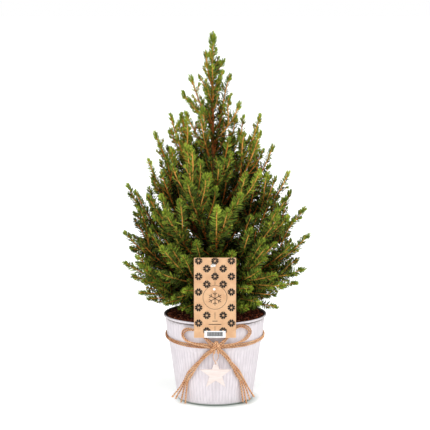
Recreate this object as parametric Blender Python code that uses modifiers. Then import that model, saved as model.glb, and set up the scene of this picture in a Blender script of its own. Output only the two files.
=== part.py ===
"""Potted dwarf white spruce, about half a metre tall, in a ribbed zinc cover pot.

A jute bow, a wooden star and a plain card tag dress the pot. Units are metres and +Z is up.
The origin is the middle of the pot's flat underside, and the bow faces -Y.
"""
import math

import bmesh
import bpy
import numpy as np
from mathutils import Matrix, Vector, noise
from mathutils.bvhtree import BVHTree

MM = 0.001
GAP = 0.3 * MM  # left between two solids that touch

# ------------------------------------------------------------------ driving dimensions
POT_HEIGHT = 118 * MM
POT_WALL = 0.9 * MM
RIM_RADIUS = 70 * MM
RIM_BEAD = 1.7 * MM  # radius of the rolled edge
FOOT_RADIUS = 50.7 * MM
SHOULDER_LOW = (74.5 * MM, 61.7 * MM)  # height and outer radius, where the cone ends
SHOULDER_HIGH = (84 * MM, 64.6 * MM)  # where the plain band under the rim starts
TURN_STEPS = 48

SOIL_DEPTH_BELOW_RIM = 6 * MM
SOIL_TOP = POT_HEIGHT - SOIL_DEPTH_BELOW_RIM
SOIL_CRUMB = 1.6 * MM  # how far the surface rises and dips
SOIL_FLAT_RADIUS = 16 * MM  # kept level round the trunk's foot
SOIL_RINGS = (28 * MM, 40 * MM, 52 * MM)

TRUNK_FOOT = SOIL_TOP + GAP
TRUNK_TOP = 450 * MM
TRUNK_FOOT_RADIUS = 5.2 * MM
TRUNK_TIP_RADIUS = 0.9 * MM
FLARE_RADIUS = 3.2 * MM  # added at the foot by the root flare
FLARE_HEIGHT = 9 * MM
FLARE_LOBES = 5
TRUNK_LEAN = Vector((-3.5 * MM, 1.5 * MM, 0))  # of the tip over the foot
TRUNK_BOW = 1.3 * MM
TRUNK_SIDES = 12
TRUNK_RINGS = 15
TREE_TOP = 501 * MM

LIMB_RADIUS = 2.3 * MM
LIMB_TAPER = 0.55
LIMB_POINTS = 6
TUFT_RADIUS = 5 * MM  # of the needles round the last shoot
MASS_SPACING = 2.8 * MM  # between two masses
MASS_LOWEST = POT_HEIGHT + 3 * MM
MASS_SIDES = 8
MASS_RINGS = 7
MASS_UNEVEN = 0.24

# Each bough with the foliage it carries: height of its root on the trunk, heading, reach and
# height of its tip, widest radius of its foliage (mm and degrees; heading 0 is +X, 90 is +Y),
# and the share of its length that is bare limb.
BOUGHS = {
    "spire_left": (424, 203, 15, 478, 9, 0),
    "spire_right": (404, 35, 14, 465, 9, 0),
    "high_left": (372, 196, 35, 445, 12, 0),
    "high_right": (336, 34, 25, 444, 13, 0),
    "high_back": (352, 106, 37, 424, 17, 0),
    "high_front_right": (362, 332, 38, 410, 14, 0),
    "high_front_left": (330, 238, 38, 397, 17, 0),
    "shoulder_left": (290, 193, 62, 394, 17, 0),
    "shoulder_right": (302, 9, 62, 390, 17, 0),
    "shoulder_back_left": (314, 145, 62, 378, 21, 0),
    "shoulder_back_right": (276, 62, 60, 384, 21, 0),
    "flank_front_right": (268, 333, 68, 373, 18, 0),
    "flank_front": (284, 276, 48, 333, 22, 0),
    "flank_left": (246, 167, 84, 366, 18, 0),
    "flank_right": (250, 14, 82, 348, 19, 0),
    "flank_back": (256, 100, 82, 345, 26, 0),
    "side_left": (226, 193, 93, 334, 20, 0),
    "side_right": (230, 350, 101, 317, 21, 0),
    "side_front_left": (208, 237, 67, 312, 22, 0),
    "side_front_right": (214, 309, 66, 320, 22, 0),
    "side_back_left": (212, 132, 99, 312, 27, 0),
    "side_back_right": (206, 55, 100, 308, 27, 0),
    "wide_left": (178, 173, 120, 294, 25, 0.24),
    "wide_right": (182, 8, 125, 262, 26, 0.24),
    "wide_front": (178, 272, 66, 277, 19, 0.24),
    "wide_front_left": (168, 223, 92, 270, 26, 0.24),
    "wide_front_right": (172, 325, 104, 262, 26, 0.24),
    "wide_back": (172, 88, 118, 258, 32, 0.24),
    "mid_left": (150, 192, 126, 236, 25, 0.26),
    "mid_right": (154, 350, 130, 232, 25, 0.26),
    "low_back_left": (146, 121, 120, 206, 34, 0),
    "low_back_right": (140, 58, 122, 196, 34, 0),
    "low_front_left": (142, 222, 96, 218, 26, 0),
    "low_front_right": (144, 318, 90, 214, 26, 0),
    "low_left": (136, 172, 128, 186, 24, 0),
    "low_right": (134, 8, 126, 173, 24, 0),
    "skirt_left": (130, 196, 109, 152, 18, 0),
    "skirt_right": (128, 350, 88, 128, 15, 0),
}
LEADER_GIRTH = 9 * MM

TWINE_HIGH = 4.2 * MM  # the band is two strands, one above the other
TWINE_THICK = 2.1 * MM
BAND_HEIGHT = 88.2 * MM
BAND_DIP = 3.6 * MM  # how far the bow pulls the front of the band down
BAND_POINTS = 48
LOOP_POINTS = 26
CORD_RADIUS = 1.9 * MM
KNOT_CENTRE = Vector((1.6, -71.4, 85)) * MM
KNOT_SIZE = Vector((8, 3.8, 6.4)) * MM  # half of its width, depth and height

# The routes of the bow: x, height and stand-off of the cord's middle from the pot (mm).
LOOP_LEFT = (
    (-8, 86.6, 5), (-15, 88.4, 5), (-27, 89.4, 4.8), (-37.5, 91.6, 4), (-43, 97.5, 3),
    (-41.8, 104.2, 3), (-36, 108, 3.6), (-26, 108, 4.6), (-17.5, 103.4, 5), (-12.4, 97.6, 5),
    (-6.5, 93, 5.4),
)
LOOP_RIGHT = (
    (11, 86.4, 5), (19, 87.6, 5), (28, 89.2, 4.8), (38.5, 92.6, 4), (45.2, 98, 3),
    (46.8, 103.6, 3), (42, 110, 3.6), (33.5, 113, 4.6), (27.5, 110, 5), (23.5, 103.5, 5),
    (17.8, 97, 5), (9.5, 92.4, 5.4),
)
# The tails widen from a cord to a fan of four strand ends: as above, with the half-width.
TAIL_LEFT = (
    (-5.5, 79.6, 4, 2.5), (-14.9, 71.2, 3.6, 2.6), (-22.8, 62.2, 3.4, 2.9), (-30, 50.8, 3.4, 3.6),
    (-37, 38, 4.2, 5), (-43.5, 22, 5, 8), (-48.5, 5.4, 6, 12.5),
)
TAIL_RIGHT = (
    (8, 79, 4, 2.5), (16.8, 69.4, 3.6, 2.6), (23.6, 59.8, 3.4, 2.9), (29.5, 48.6, 3.4, 3.6),
    (35.5, 35, 4.2, 4.8), (40.6, 20, 5, 7), (45, 5.8, 6, 10),
)
TAIL_THICK = 1.6 * MM  # half of the fan's thickness
TAIL_LOWEST = 0.8 * MM  # the strand ends hang just clear of whatever the pot stands on
TAIL_SIDES = 8
TAIL_RINGS = 9

STAR_CENTRE = Vector((1, -69, 48.2)) * MM
STAR_RADIUS = 20.2 * MM
STAR_STRETCH = 1.05  # its width over that of a regular star
STAR_INNER = 0.41  # of the radius
STAR_THICK = 3 * MM
STAR_HOLE_RADIUS = 1.3 * MM
STAR_HOLE_UP = 14 * MM
STRING_RADIUS = 0.45 * MM
STRING_SPREAD = 3.8 * MM  # of its two runs from the middle, under the knot

TAG_SIZE = (56 * MM, 108 * MM, 0.5 * MM)
TAG_FOOT = Vector((0, -73.4, 99.2)) * MM
TAG_LEAN = math.radians(2)
TAG_CORNER = 1.2 * MM
TAG_HOLE_RADIUS = 2.1 * MM
TAG_HOLE = Vector((-2.4, 99.4)) * MM  # from the middle of the tag's lower edge
TIE_RADIUS = 0.6 * MM
TIE_POINTS = 14

# ------------------------------------------------------------------ scene and materials


def clear_scene():
    for thing in list(bpy.data.objects):
        bpy.data.objects.remove(thing, do_unlink=True)


def material(name, colour, roughness, metallic=0.0):
    made = bpy.data.materials.new(name)
    made.use_nodes = True
    shader = made.node_tree.nodes["Principled BSDF"]
    shader.inputs["Base Color"].default_value = (*colour, 1)
    shader.inputs["Roughness"].default_value = roughness
    shader.inputs["Metallic"].default_value = metallic
    return made


def add_object(name, data, finish, collection):
    made = bpy.data.objects.new(name, data)
    collection.objects.link(made)
    if finish and not data.materials:
        data.materials.append(finish)
    return made


def mesh_from_rings(name, rings, first_pole=None, last_pole=None):
    """Lofts a closed mesh through rings of points, with a pole or a flat cap at each end."""
    shape = bmesh.new()
    rows = [[shape.verts.new(point) for point in ring] for ring in rings]
    for row, following in zip(rows, rows[1:]):
        for k in range(len(row)):
            after = (k + 1) % len(row)
            shape.faces.new((row[k], row[after], following[after], following[k]))
    for row, pole in ((rows[0], first_pole), (rows[-1], last_pole)):
        if pole is None:
            shape.faces.new(row)
        else:
            top = shape.verts.new(pole)
            for k in range(len(row)):
                shape.faces.new((row[k], row[(k + 1) % len(row)], top))
    bmesh.ops.recalc_face_normals(shape, faces=shape.faces)
    made = bpy.data.meshes.new(name)
    shape.to_mesh(made)
    shape.free()
    return made


def turned(name, profile, steps, finish, collection):
    """A profile of (radius, height) from the axis back to the axis, turned round Z."""
    mesh = bpy.data.meshes.new(name)
    points = [(radius, 0, height) for radius, height in profile]
    mesh.from_pydata(points, [(k, k + 1) for k in range(len(points) - 1)], [])
    made = add_object(name, mesh, finish, collection)
    screw = made.modifiers.new("turn", "SCREW")
    screw.steps = steps
    screw.render_steps = steps
    screw.use_merge_vertices = True
    screw.merge_threshold = 0.00005
    screw.use_normal_calculate = False
    return made


def baked(thing):
    """Replaces the object's data by its evaluated mesh, so that the mesh can be edited."""
    evaluated = thing.evaluated_get(bpy.context.evaluated_depsgraph_get())
    mesh = bpy.data.meshes.new_from_object(evaluated)
    thing.modifiers.clear()
    thing.data = mesh
    return mesh


def tube(name, points, radii, finish, collection, resolution=1, cyclic=False):
    """A round cord or limb along points, as a curve with filled caps."""
    curve = bpy.data.curves.new(name, "CURVE")
    curve.dimensions = "3D"
    curve.bevel_depth = max(radii)
    curve.bevel_resolution = resolution
    curve.use_fill_caps = not cyclic
    spline = curve.splines.new("POLY")
    spline.points.add(len(points) - 1)
    spline.use_cyclic_u = cyclic
    for spot, place, radius in zip(spline.points, points, radii):
        spot.co = (*place, 1)
        spot.radius = radius / max(radii)
    return add_object(name, curve, finish, collection)


def smooth_route(points, count):
    """Reads count points at even steps from a Catmull-Rom curve through points."""
    ends = [points[0] * 2 - points[1], *points, points[-1] * 2 - points[-2]]
    fine = []
    for a, b, c, d in zip(ends, ends[1:], ends[2:], ends[3:]):
        for step in range(12):
            t = step / 12
            fine.append(
                0.5 * (2 * b + (c - a) * t + (2 * a - 5 * b + 4 * c - d) * t**2
                       + (3 * b - a - 3 * c + d) * t**3)
            )
    fine.append(points[-1])
    travelled = [0.0]
    for before, after in zip(fine, fine[1:]):
        travelled.append(travelled[-1] + (after - before).length)
    route = []
    for step in range(count):
        wanted = travelled[-1] * step / (count - 1)
        k = max(i for i, run in enumerate(travelled) if run <= wanted + 1e-12)
        if k == len(fine) - 1:
            route.append(fine[-1].copy())
        else:
            share = (wanted - travelled[k]) / (travelled[k + 1] - travelled[k])
            route.append(fine[k].lerp(fine[k + 1], share))
    return route


# ------------------------------------------------------------------ pot and soil


def wall_radius(height):
    """Outer radius of the pot's wall: a cone, a shoulder and a plain band."""
    band_top = (POT_HEIGHT - 2 * RIM_BEAD, RIM_RADIUS - 2 * RIM_BEAD + POT_WALL)
    stations = ((0, FOOT_RADIUS), SHOULDER_LOW, SHOULDER_HIGH, band_top)
    return float(np.interp(height, *zip(*stations)))


def make_pot(finish, collection):
    inside = [(0, POT_WALL)]
    for height in (POT_WALL, SHOULDER_LOW[0], SHOULDER_HIGH[0], POT_HEIGHT - 2 * RIM_BEAD):
        inside.append((wall_radius(height) - POT_WALL, height))
    bead_middle = (RIM_RADIUS - RIM_BEAD, POT_HEIGHT - RIM_BEAD)
    bead = []
    for degrees in range(180, -90, -45):
        angle = math.radians(degrees)
        bead.append((
            bead_middle[0] + RIM_BEAD * math.cos(angle),
            bead_middle[1] + RIM_BEAD * math.sin(angle),
        ))
    outside = []
    for height in (POT_HEIGHT - 2 * RIM_BEAD, SHOULDER_HIGH[0], SHOULDER_LOW[0], 0):
        outside.append((wall_radius(height), height))
    return turned("pot", inside + bead + outside + [(0, 0)], TURN_STEPS, finish, collection)


def make_soil(finish, collection):
    """The root ball fills the pot. Its top is crumbly, but level round the trunk."""
    profile = [(0, SOIL_TOP)]
    inner_radius = wall_radius(SOIL_TOP) - POT_WALL - GAP
    for radius in (SOIL_FLAT_RADIUS, *SOIL_RINGS, inner_radius):
        profile.append((radius, SOIL_TOP))
    floor = POT_WALL + GAP
    for height in (SHOULDER_HIGH[0], SHOULDER_LOW[0], floor):
        profile.append((wall_radius(height) - POT_WALL - GAP, height))
    profile.append((0, floor))
    made = turned("soil", profile, TURN_STEPS // 2, finish, collection)
    for vertex in baked(made).vertices:
        radius = math.hypot(vertex.co.x, vertex.co.y)
        on_top = abs(vertex.co.z - SOIL_TOP) < 1e-6
        if on_top and SOIL_FLAT_RADIUS + MM < radius < inner_radius - MM:
            vertex.co.z += SOIL_CRUMB * noise.noise(vertex.co * 90)
    return made


# ------------------------------------------------------------------ trunk, boughs, foliage


def trunk_centre(height):
    """The trunk leans a little and bows on the way up."""
    t = (height - TRUNK_FOOT) / (TRUNK_TOP - TRUNK_FOOT)
    bow = Vector((TRUNK_BOW * math.sin(2 * math.pi * t), 0.5 * TRUNK_BOW * math.sin(3 * t), 0))
    return TRUNK_LEAN * t + bow + Vector((0, 0, height))


def trunk_radius(height):
    t = min(max((height - TRUNK_FOOT) / (TRUNK_TOP - TRUNK_FOOT), 0), 1)
    flare = FLARE_RADIUS * math.exp(-(height - TRUNK_FOOT) / FLARE_HEIGHT)
    return TRUNK_FOOT_RADIUS + (TRUNK_TIP_RADIUS - TRUNK_FOOT_RADIUS) * t + flare


def make_trunk(finish, collection):
    rings = []
    for step in range(TRUNK_RINGS):
        share = (step / (TRUNK_RINGS - 1)) ** 1.6
        height = TRUNK_FOOT + (TRUNK_TOP - TRUNK_FOOT) * share
        flare = math.exp(-(height - TRUNK_FOOT) / FLARE_HEIGHT)
        ring = []
        for k in range(TRUNK_SIDES):
            angle = 2 * math.pi * k / TRUNK_SIDES
            lobe = 1 - 0.16 * flare * (1 - math.cos(FLARE_LOBES * angle))
            radius = trunk_radius(height) * lobe
            around = Vector((math.cos(angle), math.sin(angle), 0))
            ring.append(trunk_centre(height) + radius * around)
        rings.append(ring)
    tip = trunk_centre(TRUNK_TOP) + Vector((0, 0, TRUNK_TIP_RADIUS))
    mesh = mesh_from_rings("trunk", rings, last_pole=tip)
    return add_object("trunk", mesh, finish, collection)


class Bough:
    """One bough's curved axis, with the profile of its limb and of the foliage it carries."""

    def __init__(self, name, root, heading, reach, tip, girth, bare):
        self.name = name
        self.girth = girth * MM
        self.bare = bare
        self.out = Vector((math.cos(math.radians(heading)), math.sin(math.radians(heading)), 0))
        start = trunk_centre(root * MM)
        end = self.out * reach * MM + Vector((0, 0, tip * MM))
        rise = end.z - start.z
        self.bend = start + self.out * reach * MM * 0.55 + Vector((0, 0, rise * 0.34))
        lean = (self.bend - start).normalized()
        edge_on = math.sqrt(max(1 - lean.dot(self.out) ** 2, 0))
        foot_radius = LIMB_RADIUS * edge_on if bare else 0
        self.start = start + self.out * (trunk_radius(start.z) + GAP + foot_radius)
        self.end = end

    def point(self, s):
        return self.start * (1 - s) ** 2 + self.bend * 2 * s * (1 - s) + self.end * s * s

    def direction(self, s):
        return ((self.bend - self.start) * (1 - s) + (self.end - self.bend) * s).normalized()

    def limb_radius(self, s):
        return LIMB_RADIUS * (1 - LIMB_TAPER * s / max(self.bare, 0.01))

    def foliage_start(self):
        length = (self.end - self.start).length
        return self.bare + (GAP * 1.4 / length if self.bare else 0)

    def foliage_radius(self, s):
        first = self.foliage_start()
        u = min(max((s - first) / (1 - first), 0.001), 0.999)
        swell = math.sin(math.pi * u**0.75) ** 0.9
        tuft = TUFT_RADIUS * (1 - u) ** 0.35 * min(1, 4 * u)
        return (self.girth - TUFT_RADIUS) * swell + tuft

    def keeps_clear(self, points):
        """Which points lie on this bough's side of the trunk, over the pot, behind the tag."""
        heights = points[:, 2]
        t = (heights - TRUNK_FOOT) / (TRUNK_TOP - TRUNK_FOOT)
        centre_x = TRUNK_LEAN.x * t + TRUNK_BOW * np.sin(2 * np.pi * t)
        centre_y = TRUNK_LEAN.y * t + 0.5 * TRUNK_BOW * np.sin(3 * t)
        off = (points[:, 0] - centre_x) * self.out.x + (points[:, 1] - centre_y) * self.out.y
        radii = np.array([trunk_radius(height) for height in heights])
        beside_trunk = off > radii + 2 * GAP
        behind_tag = points[:, 1] > -70.5 * MM - np.clip(heights - 205 * MM, 0, None) * 0.8
        return beside_trunk & behind_tag & (heights > MASS_LOWEST)


class Leader(Bough):
    """The tree's top shoot, which stands on the trunk's tip."""

    def __init__(self):
        self.name = "leader"
        self.girth = LEADER_GIRTH
        self.bare = 0
        self.out = Vector((1, 0, 0))
        self.start = trunk_centre(TRUNK_TOP) + Vector((0, 0, TRUNK_TIP_RADIUS + GAP))
        self.end = Vector((-3 * MM, 1 * MM, TREE_TOP))
        self.bend = (self.start + self.end) / 2

    def keeps_clear(self, points):
        return points[:, 2] > self.start.z


def axis_segments(bough, first, last, radius_at=lambda s: 0, count=10):
    """The axis as straight pieces: starts, ends and the radius at each."""
    stations = [first + (last - first) * k / count for k in range(count + 1)]
    places = np.array([bough.point(s) for s in stations])
    radii = np.array([radius_at(s) for s in stations])
    return places[:-1], places[1:], radii[:-1], radii[1:]


def foliage_segments(bough):
    return axis_segments(bough, bough.foliage_start(), 1, bough.foliage_radius)


def joined(pieces):
    return [np.concatenate(column) for column in zip(*pieces)]


def power(points, segments):
    """Power distance, squared distance less squared radius, from points to the nearest piece."""
    starts, ends, first_radii, last_radii = segments
    along = ends - starts
    offset = points[:, None, :] - starts[None, :, :]
    share = (offset * along).sum(2) / (along * along).sum(1)
    share = np.clip(share, 0, 1)
    nearest = offset - share[:, :, None] * along
    radii = first_radii + (last_radii - first_radii) * share
    return ((nearest * nearest).sum(2) - radii * radii).min(1)


def foliage_mesh(bough, neighbours, limbs, seed):
    """One uneven mass round the bough's axis, out to where a neighbour's foliage is nearer.

    It also stops half way to any other bough's bare limb.
    """
    own = foliage_segments(bough)
    first = bough.foliage_start()
    axis = axis_segments(bough, first, 1)
    rings = []
    for row in range(1, MASS_RINGS + 1):
        s = first + (1 - first) * row / (MASS_RINGS + 1)
        centre = bough.point(s)
        turn = bough.direction(s).to_track_quat("Z", "X")
        ring = []
        for k in range(MASS_SIDES):
            angle = 2 * math.pi * (k + 0.5 * (row % 2)) / MASS_SIDES
            outward = turn @ Vector((math.cos(angle), math.sin(angle), 0))
            lump = noise.noise(centre * 45 + outward * 1.3 + Vector((seed * 7.7, 0, 0)))
            wanted = bough.foliage_radius(s) * (1 + MASS_UNEVEN * lump)
            tries = np.arange(0.5 * MM, wanted, 0.5 * MM)
            spots = np.array(centre) + tries[:, None] * np.array(outward)
            free = bough.keeps_clear(spots)
            free &= power(spots, own) < power(spots, neighbours)
            free &= power(spots, axis) < power(spots, limbs)
            reached = len(tries) if free.all() else int(np.argmin(free))
            limit = tries[reached - 1] - MASS_SPACING / 2 if reached < len(tries) else wanted
            ring.append(centre + outward * max(limit if reached else 0, 0.8 * MM))
        rings.append(ring)
    return mesh_from_rings("foliage", rings, bough.point(first), bough.end)


def make_boughs(boughs, finish, collection):
    for bough in boughs:
        if bough.bare:
            stations = [bough.bare * k / (LIMB_POINTS - 1) for k in range(LIMB_POINTS)]
            points = [bough.point(s) for s in stations]
            radii = [bough.limb_radius(s) for s in stations]
            tube("bough_" + bough.name, points, radii, finish, collection)


def make_foliage(boughs, finish, collection):
    for seed, bough in enumerate(boughs):
        others = [other for other in boughs if other is not bough]
        neighbours = joined([foliage_segments(other) for other in others])
        limbs = joined([axis_segments(other, 0, other.bare) for other in others if other.bare])
        mesh = foliage_mesh(bough, neighbours, limbs, seed)
        add_object("foliage_" + bough.name, mesh, finish, collection)


# ------------------------------------------------------------------ twine and bow


def before_wall(x, height, off):
    """A point in front of the pot, off its wall by off. Lengths are in mm."""
    radius = wall_radius(height * MM) + off * MM
    return Vector((x * MM, -math.sqrt(radius**2 - (x * MM) ** 2), height * MM))


def make_band(finish, collection):
    """Two strands side by side round the pot, as one flat cord."""
    points = []
    for k in range(BAND_POINTS):
        angle = 2 * math.pi * k / BAND_POINTS
        height = BAND_HEIGHT + BAND_DIP * math.sin(angle)
        lowest_wall = wall_radius(height + TWINE_HIGH / 2)
        radius = lowest_wall + TWINE_THICK / 2 + GAP
        points.append(Vector((radius * math.cos(angle), radius * math.sin(angle), height)))
    radii = [TWINE_THICK / 2] * BAND_POINTS
    made = tube("twine_band", points, radii, finish, collection, 0, cyclic=True)
    made.data.extrude = (TWINE_HIGH - TWINE_THICK) / 2
    made.data.twist_mode = "Z_UP"
    return made


def make_knot(finish, collection):
    shape = bmesh.new()
    bmesh.ops.create_icosphere(shape, subdivisions=2, radius=1)
    for vertex in shape.verts:
        swell = 1 - 0.12 * abs(noise.noise(vertex.co * 2.3))
        vertex.co = Vector([a * b * swell for a, b in zip(vertex.co, KNOT_SIZE)])
    mesh = bpy.data.meshes.new("twine_knot")
    shape.to_mesh(mesh)
    shape.free()
    made = add_object("twine_knot", mesh, finish, collection)
    made.location = KNOT_CENTRE
    return made


def seat(near, carrier, clearance):
    """The point at that clearance from the carrier's surface, on near's side of it."""
    mesh = carrier.data
    tree = BVHTree.FromPolygons(
        [carrier.matrix_basis @ vertex.co for vertex in mesh.vertices],
        [polygon.vertices for polygon in mesh.polygons],
    )
    place = tree.find_nearest(near)[0]
    return place + (near - place).normalized() * clearance


def make_loop(name, route, knot, finish, collection):
    corners = [before_wall(*spot) for spot in route]
    for end in (0, -1):
        corners[end] = seat(corners[end], knot, CORD_RADIUS * 0.3 + GAP)
    points = smooth_route(corners, LOOP_POINTS)
    return tube(name, points, [CORD_RADIUS] * len(points), finish, collection)


def make_tail(name, route, knot, finish, collection):
    """A cord that opens into a flat fan of strand ends, as one loft of flattened rings."""
    corners = [before_wall(x, height, off) for x, height, off, _ in route]
    corners[0] = seat(corners[0], knot, TAIL_THICK * 0.4 + GAP)
    middles = smooth_route(corners, TAIL_RINGS)
    shares = np.linspace(0, 1, TAIL_RINGS)
    widths = np.interp(shares, np.linspace(0, 1, len(route)), [spot[3] for spot in route])
    rings = []
    for k, middle in enumerate(middles):
        following = middles[min(k + 1, TAIL_RINGS - 1)]
        along = (following - middles[max(k - 1, 0)]).normalized()
        off_pot = Vector((middle.x, middle.y, 0)).normalized()
        across = along.cross(off_pot).normalized()
        off_pot = across.cross(along).normalized()
        ring = []
        for side in range(TAIL_SIDES):
            angle = 2 * math.pi * side / TAIL_SIDES
            wide = across * widths[k] * MM * math.cos(angle)
            spot = middle + wide + off_pot * TAIL_THICK * math.sin(angle)
            spot.z = max(spot.z, TAIL_LOWEST)
            ring.append(spot)
        rings.append(ring)
    return add_object(name, mesh_from_rings(name, rings), finish, collection)


# ------------------------------------------------------------------ star and tag


def flat_outline(name, loops, thickness, finish, collection):
    """A flat sheet between closed outlines in its own XY plane; inner ones are holes."""
    curve = bpy.data.curves.new(name, "CURVE")
    curve.dimensions = "2D"
    curve.fill_mode = "BOTH"
    curve.extrude = thickness / 2
    for loop in loops:
        spline = curve.splines.new("POLY")
        spline.points.add(len(loop) - 1)
        spline.use_cyclic_u = True
        for spot, place in zip(spline.points, loop):
            spot.co = (place[0], place[1], 0, 1)
    return add_object(name, curve, finish, collection)


def circle(radius, middle=(0, 0), count=12, first=0.0, sweep=2 * math.pi):
    share = 1 if sweep < 6.28 else 0
    angles = [first + sweep * k / (count - share) for k in range(count)]
    return [(middle[0] + radius * math.cos(a), middle[1] + radius * math.sin(a)) for a in angles]


def make_star(finish, collection):
    outline = []
    for k in range(10):
        radius = STAR_RADIUS * (STAR_INNER if k % 2 else 1)
        angle = math.pi / 2 + math.pi * k / 5
        outline.append((radius * math.cos(angle) * STAR_STRETCH, radius * math.sin(angle)))
    hole = circle(STAR_HOLE_RADIUS, (0, STAR_HOLE_UP), 8)
    made = flat_outline("star", [outline, hole], STAR_THICK, finish, collection)
    made.location = STAR_CENTRE
    made.rotation_euler = (math.pi / 2, 0, 0)
    return made


def make_string(knot, finish, collection):
    """A thin string, down from the knot, through the star's hole and up again."""
    hole = STAR_CENTRE + Vector((0, 0, STAR_HOLE_UP))
    rest = hole.z + STAR_HOLE_RADIUS - STRING_RADIUS - 1.7 * GAP
    front = hole.y - STAR_THICK / 2 - STRING_RADIUS - 2 * GAP
    back = hole.y + STAR_THICK / 2 + STRING_RADIUS + 2 * GAP
    halves = []
    for y, side in ((front, -1), (back, 1)):
        top = Vector((hole.x + side * STRING_SPREAD, y, KNOT_CENTRE.z - KNOT_SIZE.z))
        halves.append([
            seat(top, knot, STRING_RADIUS * 0.5 + GAP),
            Vector((hole.x + side * STRING_SPREAD * 0.6, y, hole.z + 8 * MM)),
            Vector((hole.x + side * 0.5 * MM, y, rest + 2 * MM)),
            Vector((hole.x, y, rest)),
        ])
    points = halves[0] + halves[1][::-1]
    return tube("star_string", points, [STRING_RADIUS] * len(points), finish, collection, 0)


def tag_place():
    return Matrix.Translation(TAG_FOOT) @ Matrix.Rotation(math.pi / 2 - TAG_LEAN, 4, "X")


def make_tag(finish, collection):
    width, height, thickness = TAG_SIZE
    inset = TAG_CORNER
    corners = (
        (width / 2 - inset, inset, -math.pi / 2),
        (width / 2 - inset, height - inset, 0),
        (inset - width / 2, height - inset, math.pi / 2),
        (inset - width / 2, inset, math.pi),
    )
    outline = []
    for x, y, first in corners:
        outline += circle(TAG_CORNER, (x, y), 4, first, math.pi / 2)
    hole = circle(TAG_HOLE_RADIUS, TAG_HOLE)
    made = flat_outline("tag", [outline, hole], thickness, finish, collection)
    made.matrix_world = tag_place()
    return made


def make_tie(carrier, finish, collection):
    """A white tie, from the tag's hole back to the foliage behind it."""
    hole = tag_place() @ Vector((TAG_HOLE.x, TAG_HOLE.y, 0))
    behind = hole + Vector((0.6, 3.4, 1.2)) * MM
    back = seat(behind + Vector((0, 0, 4 * MM)), carrier, 0.4 * TIE_RADIUS + GAP)
    points = [
        hole + Vector((1.6, -1.1, 5.6)) * MM,
        hole + Vector((0.4, -1.8, 1.6)) * MM,
        hole,
        behind,
        back,
    ]
    points = smooth_route(points, TIE_POINTS)
    return tube("tag_tie", points, [TIE_RADIUS] * len(points), finish, collection, 0)


# ------------------------------------------------------------------ the whole part


def build():
    clear_scene()
    collection = bpy.data.collections.new("potted_spruce")
    bpy.context.scene.collection.children.link(collection)
    zinc = material("whitewashed_zinc", (0.82, 0.79, 0.81), 0.55, 0.2)
    peat = material("peat", (0.05, 0.022, 0.014), 0.95)
    bark = material("bark", (0.22, 0.10, 0.05), 0.85)
    needles = material("needles", (0.10, 0.20, 0.045), 0.55)
    jute = material("jute", (0.55, 0.33, 0.16), 0.9)
    wood = material("white_wood", (0.92, 0.87, 0.82), 0.7)
    card = material("kraft_card", (0.72, 0.50, 0.30), 0.8)
    white = material("white_tie", (0.9, 0.9, 0.88), 0.5)

    make_pot(zinc, collection)
    make_soil(peat, collection)
    make_trunk(bark, collection)
    boughs = [Leader()] + [Bough(name, *sizes) for name, sizes in BOUGHS.items()]
    make_boughs(boughs, bark, collection)
    make_foliage(boughs, needles, collection)
    make_band(jute, collection)
    knot = make_knot(jute, collection)
    make_loop("bow_loop_left", LOOP_LEFT, knot, jute, collection)
    make_loop("bow_loop_right", LOOP_RIGHT, knot, jute, collection)
    make_tail("bow_tail_left", TAIL_LEFT, knot, jute, collection)
    make_tail("bow_tail_right", TAIL_RIGHT, knot, jute, collection)
    make_star(wood, collection)
    make_string(knot, jute, collection)
    make_tag(card, collection)
    make_tie(bpy.data.objects["foliage_wide_front"], white, collection)


build()
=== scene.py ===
"""Looks of the potted dwarf spruce: its needles, bark, pot, peat, twine, star and tag.

Units are metres in the frame's own axes, +Z up, with the bow and tag facing -Y. Tables of
sizes are in millimetres and degrees where they say so.
"""
import math

import bpy
import numpy as np
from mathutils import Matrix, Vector, noise


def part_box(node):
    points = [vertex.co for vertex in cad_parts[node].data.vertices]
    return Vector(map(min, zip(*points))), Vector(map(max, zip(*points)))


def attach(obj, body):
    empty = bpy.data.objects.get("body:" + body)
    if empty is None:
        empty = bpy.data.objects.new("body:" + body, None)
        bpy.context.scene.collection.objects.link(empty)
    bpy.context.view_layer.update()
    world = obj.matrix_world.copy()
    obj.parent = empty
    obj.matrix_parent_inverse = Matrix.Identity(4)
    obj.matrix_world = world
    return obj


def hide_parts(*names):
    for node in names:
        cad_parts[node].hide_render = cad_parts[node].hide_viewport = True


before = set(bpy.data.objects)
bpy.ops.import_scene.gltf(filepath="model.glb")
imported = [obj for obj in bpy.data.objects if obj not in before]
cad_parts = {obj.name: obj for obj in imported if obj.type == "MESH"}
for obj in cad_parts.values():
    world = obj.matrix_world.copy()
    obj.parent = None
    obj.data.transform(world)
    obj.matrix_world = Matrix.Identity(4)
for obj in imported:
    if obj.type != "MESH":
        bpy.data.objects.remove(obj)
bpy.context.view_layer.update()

MM = 0.001
SEED = 20
UP = np.array([0.0, 0.0, 1.0])
GOLDEN_ANGLE = math.pi * (3 - math.sqrt(5))

# ------------------------------------------------------------------ sizes shared with the CAD
POT_HEIGHT = 118 * MM
POT_WALL = 0.9 * MM
RIM_RADIUS = 70 * MM
RIM_BEAD = 1.7 * MM
FOOT_RADIUS = 50.7 * MM
SHOULDER_LOW = (74.5 * MM, 61.7 * MM)  # height and outer radius
SHOULDER_HIGH = (84 * MM, 64.6 * MM)
SOIL_TOP = 112 * MM
TRUNK_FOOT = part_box("trunk")[0].z
TRUNK_TOP = 450 * MM
TRUNK_FOOT_RADIUS = 5.2 * MM
TRUNK_TIP_RADIUS = 0.9 * MM
FLARE_RADIUS = 3.2 * MM
FLARE_HEIGHT = 9 * MM
FLARE_LOBES = 5
TRUNK_LEAN = np.array([-3.5, 1.5, 0]) * MM
TRUNK_BOW = 1.3 * MM
TREE_TOP = 501 * MM

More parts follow.
